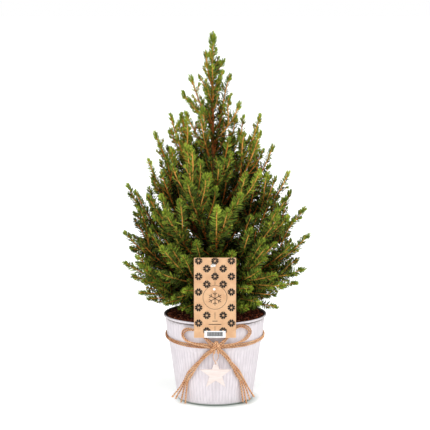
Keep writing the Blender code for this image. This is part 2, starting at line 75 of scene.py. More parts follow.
# Each bough that has a CAD mass: root height on the trunk, heading, reach and tip height
# (mm and degrees; heading 0 is +X, 90 is +Y), by tier from the top.
BOUGHS = {
    "top": {
        "spire_left": (428, 203, 15, 478), "spire_right": (441, 35, 14, 465),
        "high_left": (376, 196, 35, 445), "high_right": (332, 34, 25, 444),
        "high_back": (352, 106, 37, 424), "high_front_right": (350, 332, 38, 410),
        "high_front_left": (320, 238, 38, 397),
    },
    "shoulder": {
        "shoulder_left": (262, 193, 62, 394), "shoulder_right": (272, 9, 62, 390),
        "shoulder_back_left": (300, 145, 62, 378), "shoulder_back_right": (262, 62, 60, 384),
        "flank_front_right": (252, 333, 68, 373), "flank_front": (268, 276, 48, 333),
    },
    "flank": {
        "flank_left": (230, 167, 84, 366), "flank_right": (232, 14, 82, 348),
        "flank_back": (248, 100, 82, 345), "side_left": (206, 193, 93, 334),
        "side_right": (212, 350, 101, 317), "side_front_left": (198, 237, 67, 312),
        "side_front_right": (204, 309, 66, 320),
    },
    "side": {
        "side_back_left": (204, 132, 99, 312), "side_back_right": (200, 55, 100, 308),
        "wide_left": (178, 173, 120, 294), "wide_right": (182, 8, 125, 262),
        "wide_front": (178, 272, 70, 277), "wide_front_left": (168, 223, 92, 270),
        "wide_front_right": (172, 325, 104, 262), "wide_back": (172, 88, 118, 258),
    },
    "low": {
        "mid_left": (150, 192, 126, 236), "mid_right": (154, 350, 130, 232),
        "low_back_left": (146, 121, 120, 206), "low_back_right": (140, 58, 122, 196),
        "low_front_left": (142, 222, 98, 222), "low_front_right": (144, 318, 94, 222),
    },
    "skirt": {
        "low_left": (136, 172, 128, 186), "low_right": (134, 8, 126, 176),
        "skirt_left": (130, 196, 109, 152), "skirt_right": (128, 350, 88, 128),
    },
}
BARE_LIMBS = (
    "wide_left", "wide_right", "wide_front", "wide_front_left", "wide_front_right", "wide_back",
    "mid_left", "mid_right",
)
# Tips (mm) of the other large shoots, which grow on from the nearest limb below them.
SHOOT_TIPS = (
    (8, -5, 443), (-15, 8, 430), (-44, 14, 421), (-36, -4, 414), (19, -22, 418),
    (39, 16, 388), (-39, -14, 397), (-60, -30, 351), (-39, -45, 357), (-32, -50, 354),
    (-73, -34, 320), (-38, -58, 313), (-48, -64, 285), (-67, -62, 272), (-8, -52, 320),
    (-91, -30, 288), (-73, -46, 289), (-110, -10, 250), (-108, -8, 289), (40, -28, 371),
    (19, -34, 364), (65, -14, 346), (71, -46, 320), (60, -52, 324), (81, -40, 313),
    (99, -44, 262), (84, -56, 272), (75, -30, 279), (34, -60, 293), (25, -62, 280),
    (-102, -30, 223), (-115, -14, 212), (-107, -30, 203), (-102, -36, 191), (-115, -20, 174),
    (-92, -34, 144), (-70, -42, 139), (-62, -58, 222), (-44, -69, 210), (-76, -58, 186),
    (-26, -68, 229), (-42, -66, 162), (49, -66, 246), (66, -62, 231), (82, -50, 225),
    (105, -34, 221), (114, -24, 199), (114, -22, 164), (24, -70, 216), (67, -60, 206),
    (60, -64, 190), (17, -64, 272), (50, -66, 165), (84, -46, 180), (62, -54, 142),
    (84, -36, 150), (-58, -58, 150), (36, -66, 140), (-20, -62, 140), (0, -64, 165),
    (70, -20, 300), (86, -14, 284), (92, 6, 266), (74, 12, 290), (102, 8, 240), (84, -34, 248),
    (60, -40, 262), (98, -4, 206), (92, 12, 188), (106, -12, 186), (-96, -4, 226), (-100, 12, 206),
    (-86, -24, 244), (-78, -10, 264), (-96, 4, 184), (-84, -30, 168), (84, -20, 226), (56, -28, 306),
    (-38, -42, 127), (-50, -32, 130), (-32, -52, 125), (40, -44, 128), (54, -32, 131),
    (-64, -18, 134), (66, -12, 132), (-44, -56, 134), (44, -56, 134),
    (-39, -22, 388), (-17, -24, 404), (-60, -10, 374), (-52, -24, 368), (-76, 6, 354), (-86, -18, 312),
    (-46, 12, 392), (-66, -26, 336), (-58, -42, 330), (54, -24, 352), (22, -42, 346),
    (24, 10, 334), (32, 28, 322), (18, 42, 344), (-28, 22, 350), (-18, 32, 332), (8, 52, 356),
    (42, 22, 338), (-46, 22, 356), (30, -8, 312), (16, 14, 306), (-22, 6, 322), (50, 4, 318),
    (24, 30, 300), (36, 8, 292), (-44, 4, 330), (12, -14, 330), (-34, 38, 338),
    (-50, -6, 232), (-44, 10, 250), (-36, -20, 226), (52, 12, 236), (46, -16, 222), (58, 30, 262),
    (-60, 30, 272), (34, 52, 254), (-30, 56, 262), (20, 66, 226), (-24, 60, 214), (48, 50, 292),
    (14, 74, 280), (-52, 48, 296), (-38, 40, 258), (-30, 52, 240), (24, 42, 252), (32, 54, 238),
    (-84, -40, 262), (-104, -22, 268), (-98, -20, 244), (-88, -42, 236), (96, -30, 284), (108, -16, 250),
    (-108, -16, 192), (-100, -32, 168), (108, -26, 178), (96, -38, 164), (-112, 2, 226), (112, -6, 212),
)
# The crown's habit by height of a tip (mm): its radius there, and how far a shoot's tip leans.
CROWN = (
    (113, 60), (128, 88), (150, 108), (186, 127), (236, 127), (262, 124), (294, 119), (334, 93),
    (366, 84), (394, 63), (420, 46), (445, 36), (465, 20), (478, 16), (501, 9),
)
TIP_LEAN = (
    (128, 104), (152, 85), (178, 72), (190, 54), (232, 40), (262, 34), (294, 21), (320, 19),
    (352, 19), (390, 13), (420, 20), (445, 20), (478, 12), (501, 0),
)


def crown_radius(height):
    return np.interp(height, *np.array(CROWN).T * MM)


# ------------------------------------------------------------------ node materials


def srgb(red, green, blue):
    """Linear colour of a screen colour given from 0 to 255."""
    parts = np.array([red, green, blue]) / 255
    return tuple(float(part) for part in ((parts + 0.055) / 1.055) ** 2.4)


class Finish:
    """A Principled material under construction, with short calls for its nodes."""

    def __init__(self, name, colour, roughness, specular):
        self.material = bpy.data.materials.new(name)
        self.material.use_nodes = True
        self.material.diffuse_color = (*colour, 1)
        self.tree = self.material.node_tree
        self.shader = self.tree.nodes["Principled BSDF"]
        self.shader.inputs["Base Color"].default_value = (*colour, 1)
        self.shader.inputs["Roughness"].default_value = roughness
        self.shader.inputs["Specular IOR Level"].default_value = specular

    def node(self, kind, inputs, output=0, **settings):
        made = self.tree.nodes.new("ShaderNode" + kind)
        for setting, value in settings.items():
            setattr(made, setting, value)
        for key, value in inputs.items():
            if isinstance(value, bpy.types.NodeSocket):
                self.tree.links.new(value, made.inputs[key])
            else:
                made.inputs[key].default_value = value
        return made.outputs[output]

    def place(self, scale=(1, 1, 1)):
        """Position on the object, stretched by scale."""
        where = self.node("TexCoord", {}, output="Object")
        return self.node("Mapping", {"Vector": where, "Scale": scale})

    def axes(self):
        """The three parts of the position on the object."""
        return self.node("SeparateXYZ", {0: self.place()}).node.outputs

    def noise(self, scale, stretch=(1, 1, 1), detail=4.0, roughness=0.6):
        settings = {"Vector": self.place(stretch), "Scale": scale, "Detail": detail, "Roughness": roughness}
        return self.node("TexNoise", settings)

    def math(self, operation, first, second=0.0):
        return self.node("Math", {0: first, 1: second}, operation=operation)

    def plus(self, first, second):
        return self.math("ADD", first, second)

    def times(self, first, second):
        return self.math("MULTIPLY", first, second)

    def distance(self, x, y):
        """How far a place is from the upright line on which both numbers are 0."""
        return self.math("SQRT", self.plus(self.times(x, x), self.times(y, y)))

    def ramp(self, value, low, high, first=0.0, last=1.0):
        """Maps value from low..high to first..last, held at the ends."""
        inputs = {"Value": value, "From Min": low, "From Max": high, "To Min": first, "To Max": last}
        return self.node("MapRange", inputs)

    def mix(self, share, first, second):
        """The first colour, and that share of the second. A colour is three numbers or a socket."""
        first, second = [(*tone, 1) if isinstance(tone, tuple) else tone for tone in (first, second)]
        return self.node("Mix", {0: share, 6: first, 7: second}, output=2, data_type="RGBA")

    def blend(self, value, low, high, first, second, most=1.0):
        """The first colour, and up to most of the second as value goes from low to high."""
        return self.mix(self.ramp(value, low, high, 0.0, most), first, second)

    def drive(self, name, socket):
        self.tree.links.new(socket, self.shader.inputs[name])

    def colour(self, socket):
        self.drive("Base Color", socket)

    def bump(self, height, distance, strength=1.0):
        bumped = self.node("Bump", {"Height": height, "Distance": distance, "Strength": strength})
        self.drive("Normal", bumped)


NEEDLE_GREENS = (  # steps of painted light and shade, from the crown's dark inside to the bright tips
    (22, 27, 10), (46, 56, 20), (76, 90, 34), (106, 125, 46), (134, 155, 54), (160, 179, 62),
    (184, 199, 74), (206, 220, 94),
)
TWIG_BROWNS = ((90, 44, 18), (150, 80, 32), (206, 122, 52), (240, 164, 82), (226, 186, 98))
PEAT_BROWNS = ((74, 36, 25), (118, 60, 40), (160, 84, 56), (196, 128, 92))
JUTE_TONES = {  # dark, middle and pale
    "jute": ((170, 112, 74), (236, 178, 132), (250, 212, 172)),
    # The second set is darker, as painted shade.
    "jute_painted_shade": ((92, 52, 28), (156, 102, 66), (194, 138, 96)),
}
YOUNG_BARK = (260 * MM, 380 * MM)  # heights between which the trunk's bark gets young and bright
# Heights on the pot between which its finish changes, from the foot up: painted contact shade at the foot,
# painted shade in the grooves, a painted shadow line under the rim and painted shade inside the bead.
FOOT_PAINTED_SHADE = (1.4 * MM, 3.2 * MM)
GROOVES_START = (5 * MM, 8 * MM)
GROOVES_END = (72 * MM, 76 * MM)
UNDER_RIM = (108 * MM, 114.4 * MM)
PAINTED_INNER_SHADE = (112 * MM, 114 * MM)
BEAD_FOOT = (114.8 * MM, 115.6 * MM)
BEAD_TOP = (115.2 * MM, 117 * MM)


def stepped_finishes(name, tones, roughness, specular, grain, relief):
    """Plain finishes in steps of tone, with one fine relief: grain is its scale and detail."""
    made = []
    for step, tone in enumerate(tones):
        finish = Finish(f"{name}_{step}", srgb(*tone), roughness, specular)
        finish.bump(finish.noise(grain[0], detail=grain[1]), *relief)
        made.append(finish.material)
    return made


def needle_finishes():
    return stepped_finishes("needle_green", NEEDLE_GREENS, 0.6, 0.12, (3200, 2), (0.05 * MM, 0.4))


def twig_finishes():
    return stepped_finishes("twig_brown", TWIG_BROWNS, 0.75, 0.12, (1400, 3), (0.15 * MM, 0.6))


def bark_finish():
    """Scaly red-brown bark: dark cracks between plates with paler, frayed edges."""
    finish = Finish("spruce_bark", srgb(112, 66, 44), 0.85, 0.2)
    crack = finish.node(
        "TexVoronoi", {"Vector": finish.place((1, 1, 0.45)), "Scale": 420.0, "Randomness": 1.0},
        feature="DISTANCE_TO_EDGE",
    )
    fleck = finish.noise(900, (1, 1, 0.4))
    old = finish.blend(fleck, 0.35, 0.7, srgb(104, 66, 44), srgb(172, 122, 84))
    young = finish.blend(fleck, 0.35, 0.7, srgb(158, 94, 46), srgb(210, 142, 80))
    plate = finish.blend(finish.axes()[2], *YOUNG_BARK, old, young)
    finish.colour(finish.blend(crack, 0.0, 0.16, srgb(38, 22, 16), plate))
    finish.bump(finish.plus(finish.ramp(crack, 0, 0.2), fleck), 0.35 * MM)
    return finish.material


def zinc_finish(ribs):
    """Matt whitewash brushed downwards over ribbed zinc, greyer with wear at the rim, with painted shade in
    the grooves, a painted shadow under the rim, painted shade inside the bead and painted contact shade at
    the foot.
    """
    finish = Finish("whitewashed_zinc", srgb(236, 229, 233), 0.5, 0.3)
    x, y, z = finish.axes()
    # Painted shade in the ribs' grooves, weaker above the shoulder.
    turn = finish.times(finish.math("ARCTAN2", y, x), float(ribs))
    painted_groove_shade = finish.ramp(finish.math("COSINE", turn), -0.2, -1.0)
    below = finish.ramp(z, *GROOVES_END[::-1], 0.25, 1.0)
    painted_groove_shade = finish.times(painted_groove_shade, finish.times(below, finish.ramp(z, *GROOVES_START)))
    streak = finish.noise(1.0, (420, 420, 22), 5, 0.7)
    patch = finish.noise(26, (1, 1, 1.6), 3)
    scratch = finish.noise(1.0, (900, 900, 60), 3)
    wash = finish.blend(streak, 0.36, 0.66, srgb(213, 205, 210), srgb(234, 227, 232))
    wash = finish.blend(patch, 0.48, 0.75, wash, srgb(208, 202, 207), 0.35)
    wash = finish.blend(scratch, 0.64, 0.74, wash, srgb(176, 170, 174), 0.5)
    tone = finish.mix(finish.times(painted_groove_shade, 0.37), wash, srgb(182, 174, 181))
    bead = finish.times(finish.ramp(z, *BEAD_TOP), finish.ramp(finish.noise(160), 0.3, 0.62))
    tone = finish.mix(finish.times(bead, 0.15), tone, srgb(176, 168, 166))
    # Under the rim: a painted shadow line, broken up with noise like wear.
    under = finish.times(finish.ramp(z, *UNDER_RIM), finish.ramp(z, *BEAD_FOOT[::-1]))
    wear_and_painted_shadow = finish.times(under, finish.ramp(finish.noise(220, detail=3), 0.4, 0.62))
    tone = finish.mix(finish.times(wear_and_painted_shadow, 0.75), tone, srgb(128, 122, 116))
    # Inside the rim's bead, above the peat: painted shade, dark brown.
    middle = RIM_RADIUS - RIM_BEAD
    inner = finish.ramp(finish.distance(x, y), middle + 1.2 * MM, middle + 0.2 * MM)
    inner = finish.times(inner, finish.ramp(z, *PAINTED_INNER_SHADE))
    tone = finish.mix(finish.times(inner, 0.92), tone, srgb(58, 38, 30))
    # The rolled foot's bare zinc, tinted greenish grey as painted contact shade.
    finish.colour(finish.blend(z, *FOOT_PAINTED_SHADE[::-1], tone, srgb(142, 152, 144)))
    finish.drive("Roughness", finish.ramp(streak, 0.3, 0.7, 0.42, 0.62))
    finish.bump(finish.plus(streak, finish.times(scratch, 0.6)), 0.12 * MM, 0.7)
    return finish.material


def bare_zinc_painted_shade_finish():
    """The pot's inside and underside: dull zinc, painted dark brown as shade, mottled."""
    finish = Finish("bare_zinc_painted_shade", srgb(56, 34, 24), 0.95, 0.03)
    painted_shade_mottle = finish.noise(60)
    finish.colour(finish.blend(painted_shade_mottle, 0.35, 0.6, srgb(40, 22, 14), srgb(66, 42, 30)))
    finish.bump(painted_shade_mottle, 0.2 * MM)
    return finish.material


def peat_finishes():
    return stepped_finishes("peat", PEAT_BROWNS, 0.95, 0.15, (1300, 4), (0.4 * MM, 1.0))


def jute_finishes():
    """Twisted bast: pale fibres lying along darker ones, and the same in darker tones as painted shade for
    the lay's grooves.
    """
    made = []
    for name, (dark, middle, pale) in JUTE_TONES.items():
        finish = Finish(name, srgb(*middle), 0.9, 0.12)
        fibre = finish.noise(1500, (1, 1, 1), 5, 0.75)
        base = finish.blend(finish.noise(120, detail=2), 0.35, 0.65, srgb(*middle), srgb(*pale))
        finish.colour(finish.blend(fibre, 0.3, 0.52, srgb(*dark), base))
        finish.bump(fibre, 0.3 * MM)
        made.append(finish.material)
    return made


def white_wood_finish():
    """Plywood under a thin white wash, with a faint grain across it."""
    finish = Finish("white_wood", srgb(250, 240, 234), 0.7, 0.2)
    grain = finish.noise(1.0, (60, 300, 520), 5, 0.65)
    pore = finish.noise(1.0, (240, 900, 2600), 3)
    tone = finish.blend(grain, 0.38, 0.68, srgb(218, 203, 197), srgb(230, 218, 214))
    finish.colour(finish.blend(pore, 0.66, 0.76, tone, srgb(206, 186, 172), 0.35))
    finish.bump(grain, 0.08 * MM, 0.6)
    return finish.material


def card_finish():
    """Unbleached card with darker and paler flecks of fibre."""
    finish = Finish("kraft_card", srgb(232, 186, 140), 0.85, 0.15)
    fleck = finish.noise(1100, (1, 1, 1.4), 3, 0.7)
    cloud = finish.noise(90, detail=3)
    base = finish.blend(cloud, 0.35, 0.65, srgb(204, 160, 122), srgb(216, 176, 138))
    base = finish.blend(fleck, 0.56, 0.72, base, srgb(170, 122, 84), 0.7)
    finish.colour(finish.blend(fleck, 0.42, 0.3, base, srgb(232, 204, 172), 0.6))
    finish.bump(fleck, 0.05 * MM, 0.5)
    return finish.material


def speckled_finish(name, colour, other, roughness):
    """A near-even finish, such as ink, paper or coated wire, with a fine mottle."""
    finish = Finish(name, srgb(*colour), roughness, 0.3)
    mottle = finish.noise(900, detail=3)
    finish.colour(finish.blend(mottle, 0.4, 0.7, srgb(*colour), srgb(*other)))
    finish.bump(mottle, 0.03 * MM, 0.4)
    return finish.material


# ------------------------------------------------------------------ joined meshes


def unit(vectors):
    return vectors / np.maximum(np.linalg.norm(vectors, axis=-1, keepdims=True), 1e-12)


def circle(count):
    """Angles of even steps round a circle."""
    return 2 * math.pi * np.arange(count) / count


def polar(angle, length=1.0):
    """The two level coordinates of a length at one angle from +X."""
    return np.array([math.cos(angle), math.sin(angle)]) * length


def around(radius, angle, height):
    """Points at distances from the upright axis, at angles round it and at heights."""
    return np.stack(np.broadcast_arrays(radius * np.cos(angle), radius * np.sin(angle), height), -1)


def placed(name, data):
    """A new object in the scene that holds the data."""
    made = bpy.data.objects.new(name, data)
    bpy.context.scene.collection.objects.link(made)
    return made


class Batch:
    """Triangles collected for one joined piece."""

    def __init__(self):
        self.points = []
        self.corners = []
        self.finish = []
        self.size = 0

    def add(self, points, corners, finish=0):
        self.points.append(np.asarray(points).reshape(-1, 3))
        self.corners.append(corners + self.size)
        self.finish.append(np.broadcast_to(finish, len(corners)))
        self.size += len(self.points[-1])

    def piece(self, name, finishes, replaced=(), smooth=True):
        points = np.concatenate(self.points).astype(np.float32)
        corners = np.concatenate(self.corners).astype(np.int32)
        mesh = bpy.data.meshes.new(name)
        mesh.vertices.add(len(points))
        mesh.vertices.foreach_set("co", points.ravel())
        mesh.loops.add(corners.size)
        mesh.loops.foreach_set("vertex_index", corners.ravel())
        mesh.polygons.add(len(corners))
        mesh.polygons.foreach_set("loop_start", np.arange(0, corners.size, 3, dtype=np.int32))
        for finish in finishes:
            mesh.materials.append(finish)
        mesh.polygons.foreach_set("material_index", np.concatenate(self.finish).astype(np.int32))
        mesh.polygons.foreach_set("use_smooth", np.full(len(corners), smooth))
        mesh.update(calc_edges=True)
        made = placed(name, mesh)
        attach(made, "root")
        if replaced:
            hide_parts(*replaced)


def lattice(rows, columns):
    """Triangles of a rows x columns grid whose columns close on themselves."""
    row, column = np.meshgrid(np.arange(rows - 1), np.arange(columns), indexing="ij")
    here = row * columns + column
    beside = row * columns + (column + 1) % columns
    lower = np.stack([here, beside, beside + columns], -1).reshape(-1, 3)
    upper = np.stack([here, beside + columns, here + columns], -1).reshape(-1, 3)
    return np.concatenate([lower, upper])


def capped(grid):
    """Points and triangles of a closed grid of rings, with a pole at the middle of each end."""
    rows, columns, _ = grid.shape
    points = np.concatenate([grid.reshape(-1, 3), grid[0].mean(0)[None], grid[-1].mean(0)[None]])
    here = np.arange(columns)
    beside = (here + 1) % columns
    first_pole, last_pole = rows * columns, rows * columns + 1
    last = (rows - 1) * columns
    foot = np.stack([beside, here, np.full(columns, first_pole)], -1)
    tip = np.stack([last + here, last + beside, np.full(columns, last_pole)], -1)
    return points, np.concatenate([lattice(rows, columns), foot, tip])


def along(path):
    """Unit directions along a path of points."""
    return unit(np.gradient(path, axis=0))


def run_along(path):
    """Distances of a path's points from its start."""
    return np.concatenate([[0], np.cumsum(np.linalg.norm(np.diff(path, axis=0), axis=1))])


def crossways(ahead, guide):
    """Two unit directions at right angles to each heading, the first also to the guide."""
    across = unit(np.cross(ahead, guide))
    return across, np.cross(ahead, across)


def tube(path, radii, sides, guide=None):
    """A closed round tube. guide is a direction across it, one or one for each point."""
    ahead = along(path)
    if guide is None:
        chord = unit(path[-1] - path[0])
        guide = np.eye(3)[np.argmin(np.abs(chord))]
    across, over = crossways(ahead, guide)
    angle = circle(sides)
    ring = across[:, None] * np.cos(angle)[:, None] + over[:, None] * np.sin(angle)[:, None]
    return capped(path[:, None] + ring * np.broadcast_to(radii, len(path))[:, None, None])


# A needle's outline: narrow at its foot, widest two thirds up, and pointed.
NEEDLE_OUTLINE = ((0, -0.3), (0, 0.3), (0.68, -0.5), (0.68, 0.5), (1, 0))


def turned_about(headings, reference, turns):
    """Unit directions across the headings, turned round them by turns from the reference's side."""
    across = unit(reference - headings * (reference * headings).sum(-1, keepdims=True))
    over = np.cross(headings, across)
    return across * np.cos(turns)[:, None] + over * np.sin(turns)[:, None]


def blades(feet, headings, lengths, widths, sides):
    """Flat needles of three triangles each, which lie in the plane of their heading and side."""
    reach = headings * lengths[:, None]
    across = sides * widths[:, None]
    points = np.stack([feet + reach * up + across * out for up, out in NEEDLE_OUTLINE], 1)
    one = np.array([(0, 1, 3), (0, 3, 2), (2, 3, 4)])
    corners = (one[None] + (np.arange(len(feet)) * 5)[:, None, None]).reshape(-1, 3)
    return points, corners


def bezier(start, first, second, end, count):
    t = np.linspace(0, 1, count)[:, None]
    return (
        start * (1 - t) ** 3 + first * 3 * t * (1 - t) ** 2 + second * 3 * t**2 * (1 - t) + end * t**3
    )


# ------------------------------------------------------------------ how the shoots grow
BOUGH_POINTS = 30
SIDE_POINTS = 5
WOOD_SHORT = 3.4 * MM  # how far below its tip a shoot's wood ends
TUFT_BEYOND = 5 * MM  # how far the last needles reach past the end of a shoot's wood
LIMB_RADIUS = 2.3 * MM
SHOOT_TIP_RADIUS = 0.56 * MM
SHOOT_THICKENING = (0.0045, 0.06)  # radius gained by the length of wood below the tip and its square
SHOOT_LENGTH = 68 * MM
SHORT_HIGH = (380, 440), (1, 0.35)  # heights (mm), and shares of that length there
BARE_FOOT = 28 * MM  # length without needles at the foot of a bough that has a CAD limb
PLAIN_FOOT = 6 * MM  # and of one that has none
SIDE_SPACING = 10.5 * MM
SPARSE_HIGH = (290, 350), (1, 1.35)  # heights (mm), and how much farther apart side shoots are
SIDE_SHORTEST = 4.5 * MM
SIDE_GROWTH = 0.3  # length gained by a side shoot for each length of wood above it
SIDE_LONGEST = 34 * MM
TWIG_LONGEST = 11 * MM  # of a side shoot's own side shoots
BRANCHED = 15 * MM  # side shoots longer than this have their own
SIDE_FIRST = 8 * MM  # least way from a shoot's tip to its first side shoot
SIDE_LAST = 3 * MM  # and from its foot to the last
SIDE_ANGLE = math.radians(42)
NEEDLE_LENGTH = 10.6 * MM
NEEDLE_WIDTH = 1.35 * MM
NEEDLE_SPACING = 0.36 * MM
NEEDLE_ANGLE = math.radians(60)
SIDE_NEEDLES = 0.82  # length of a side shoot's needles beside the others'
SHORT_NEAR_TIP = (0, 14 * MM), (0.5, 1.0)  # distances from the tip, and shares of the full length
PARTED = 0.62  # needles are parted on a shoot's lower side, which faces out of the crown
PARTED_LEFT = 0.4  # share of the needles that stay there
SHED_FROM = 70 * MM  # a main shoot's needles thin out this far below its tip
SHED_OVER = 60 * MM
SHED_MOST = 0.6
TUFT_ANGLE = math.radians(26)
TUFT_LENGTH = 8 * MM
TUFT_RADIUS = 5.2 * MM
TUFT_RISE = 6.4 * MM  # how far up the shoot each needle of a tuft reaches
TUFT_NEEDLES = (42, 20)  # of a main shoot and of a side shoot
TUFT_FINE = 0.85  # width of their needles beside the others'
TUFT_HIGH = (330, 400), (1, 1.12)  # heights (mm), and how much larger tufts are there
STOUT_HIGH = (320, 380), (1, 1.2)  # the same for the shoots' wood
SIDE_TUFT = 0.6  # size of a side shoot's tuft
CLEAN_TIP = (0.95, 1.15), (0, 46 * MM)  # vigours, and lengths below the tip without side shoots
LEADER_TOP = np.array([-3 * MM, 1 * MM, TREE_TOP - TUFT_BEYOND])
LEADER_BELOW = 125 * MM  # how far below the trunk's tip the leader's needles start
LEADER_HEAD = 1.3
LEADER_VIGOUR = 0.95
LEADER_SPACING = 4.4 * MM
SHADE_DEPTH = (280 * MM, 420 * MM), (62 * MM, 105 * MM)  # heights, and how far in shade gets full
CROWN_FRONT = 76 * MM  # the crown is flatter in front and a little so behind
CROWN_BACK = 118 * MM
CROWN_FOREMOST = -84 * MM
CROWN_LOWEST = 121 * MM
VIGOUR_BY_HEIGHT = (120, 200, 290, 335, 400, 501), (0.9, 1, 1, 0.84, 0.7, 0.74)
VIGOUR_BY_SIDE = (0.3, 0.95), (1.18, 0.85)  # shares of the crown's radius, and factors
# A needle's colour is a number of steps of NEEDLE_GREENS, which paint its light and shade.
PAINTED_SHADE_BY_SIDE = (-0.9, -0.4, 0.4, 0.9), (0.76, 1, 1, 0.88)  # painted shade, from the crown's left to its right
# Painted light added by height (mm) and by a shoot's vigour, in steps.
PAINTED_LIGHT_BY_HEIGHT = (170, 215, 280, 370, 430, 470), (0.3, 0, 0.2, 1.2, 1.0, 0.6)
PAINTED_LIGHT_BY_VIGOUR = (0.95, 1.2), (0, 0.5)
YOUNG_REACH = 6 * MM  # how fast the young green fades below a tip
# How bright young tips are by height (mm): their own paler green and a painted highlight.
YOUNG_BY_HEIGHT = (190, 290, 340, 400), (0.6, 0.85, 0.8, 0.45)


def trunk_centre(height):
    t = (height - TRUNK_FOOT) / (TRUNK_TOP - TRUNK_FOOT)
    bow = np.stack([
        TRUNK_BOW * np.sin(2 * math.pi * t), 0.5 * TRUNK_BOW * np.sin(3 * t), height + 0 * t,
    ], -1)
    return TRUNK_LEAN * np.expand_dims(t, -1) + bow


def trunk_radius(height):
    t = np.clip((height - TRUNK_FOOT) / (TRUNK_TOP - TRUNK_FOOT), 0, 1)
    flare = FLARE_RADIUS * np.exp(-(height - TRUNK_FOOT) / FLARE_HEIGHT)
    return TRUNK_FOOT_RADIUS + (TRUNK_TIP_RADIUS - TRUNK_FOOT_RADIUS) * t + flare


class Shoot:
    """One length of wood from its foot to its tip, with the numbers its needles need."""

    def __init__(self, path, rank, vigour, bare=0.0, head=None):
        self.path = path
        self.run = run_along(path)
        self.ahead = along(path)
        self.length = self.run[-1]
        self.rank = rank
        self.vigour = vigour
        self.head = head or max(vigour, 0.92)
        self.bare = bare

    def at(self, run):
        """Places and directions at distances from the foot."""
        places = [np.interp(run, self.run, self.path[:, k]) for k in range(3)]
        headings = [np.interp(run, self.run, self.ahead[:, k]) for k in range(3)]
        return np.stack(places, -1), unit(np.stack(headings, -1))

    def radii(self):
        below = self.length - self.run
        thick = SHOOT_TIP_RADIUS * (1 - 0.2 * self.rank)
        thick = thick + SHOOT_THICKENING[0] * below + SHOOT_THICKENING[1] * below**2
        thick = thick * np.interp(self.path[-1][2] / MM, *STOUT_HIGH)
        return np.minimum(thick, LIMB_RADIUS)


def lean_heading(tip):
    """The direction in which a shoot ends, from where its tip is in the crown."""
    lean = math.radians(np.interp(tip[2] / MM, *zip(*TIP_LEAN)))
    out = unit(np.array([tip[0], tip[1], 0.0]) + 1e-9)
    return out * math.sin(lean) + UP * math.cos(lean)


def exposure(points):
    """How open to the light places in the crown are, from 0 well inside it to 1 at its rim."""
    x, y, z = np.moveaxis(points, -1, 0)
    wide = crown_radius(z)
    deep = np.minimum(wide, np.where(y < 0, CROWN_FRONT, CROWN_BACK))
    share = np.hypot(x / wide, y / deep) + 1e-6
    inside = (np.hypot(x, y) + MM) * (1 / share - 1)
    return np.clip(1 - inside / np.interp(z, *SHADE_DEPTH), 0, 1)


def vigour_at(tip):
    """Shoots are strongest low down at the front of the crown, and finest at its top and rim."""
    by_height = np.interp(tip[2] / MM, *VIGOUR_BY_HEIGHT)
    side = abs(tip[0]) / crown_radius(tip[2])
    return float(by_height * np.interp(side, *VIGOUR_BY_SIDE))


def bough(root, heading, reach, tip_height, bare):
    """A bough from the trunk, which sets out as the CAD's limb does and ends with its tip's lean."""
    out = np.array([*polar(math.radians(heading)), 0])
    start = trunk_centre(root * MM)
    tip = out * reach * MM + UP * tip_height * MM
    ends = lean_heading(tip)
    rise = tip[2] - start[2]
    bend = start + (out * reach * MM * 0.55 + UP * rise * 0.34) * 0.75
    wood_end = tip - ends * WOOD_SHORT
    span = np.linalg.norm(wood_end - start)
    path = bezier(start, bend, wood_end - ends * span * 0.38, wood_end, BOUGH_POINTS)
    return Shoot(path, 0, vigour_at(tip), bare)


def grown_on(tip, length, limbs):
    """A shoot to that tip from the nearest limb about its length below."""
    ends = lean_heading(tip)
    wood_end = tip - ends * WOOD_SHORT
    foot = wood_end - ends * length
    places = np.concatenate([limb.path[2:-4] for limb in limbs])
    headings = np.concatenate([limb.ahead[2:-4] for limb in limbs])
    below = places[:, 2] < wood_end[2] - 0.2 * length * max(ends[2], 0)
    away = np.linalg.norm(places - foot, axis=1) + np.where(below, 0, 1)
    nearest = int(np.argmin(away))
    start, sets_out = places[nearest], headings[nearest]
    span = np.linalg.norm(wood_end - start)
    first = start + unit(sets_out + unit(wood_end - start)) * span * 0.35
    path = bezier(start, first, wood_end - ends * span * 0.4, wood_end, BOUGH_POINTS * 2 // 3)
    return Shoot(path, 0, vigour_at(tip))


def side_shoots(parent, draw, spacing=SIDE_SPACING):
    """Side shoots spiral up the parent, shorter towards its tip, and curve up to the light."""
    made = []
    longest = TWIG_LONGEST if parent.rank else SIDE_LONGEST
    roll = draw.uniform(0, 2 * math.pi)
    from_tip = draw.uniform(0.8, 1.2) * max(spacing, SIDE_FIRST)
    if parent.rank == 0:
        from_tip += np.interp(parent.vigour, *CLEAN_TIP)
    spacing *= float(np.interp(parent.path[-1][2] / MM, *SPARSE_HIGH))
    while from_tip < parent.length - max(parent.bare, SIDE_LAST):
        length = min(SIDE_SHORTEST + SIDE_GROWTH * from_tip, longest) * draw.uniform(0.7, 1.2)
        place, ahead = parent.at(parent.length - from_tip)
        across = unit(np.cross(ahead, UP + 0.01))
        over = np.cross(across, ahead)
        roll += GOLDEN_ANGLE + draw.normal(0, 0.3)
        aside = across * math.cos(roll) + over * math.sin(roll)
        angle = SIDE_ANGLE * draw.uniform(0.8, 1.2)
        sets_out = ahead * math.cos(angle) + aside * math.sin(angle)
        ends = unit(sets_out + ahead * 0.35 + UP * 0.3)
        first = place + sets_out * length * 0.4
        second = first + (sets_out + ends) * length * 0.15
        path = bezier(place, first, second, first + ends * length * 0.6, SIDE_POINTS)
        if stands_free(path[-1]):
            made.append(Shoot(path, parent.rank + 1, parent.vigour * draw.uniform(0.85, 1.0)))
        from_tip += spacing * draw.uniform(0.75, 1.3) * (1 if parent.rank == 0 else 0.85)
    return made


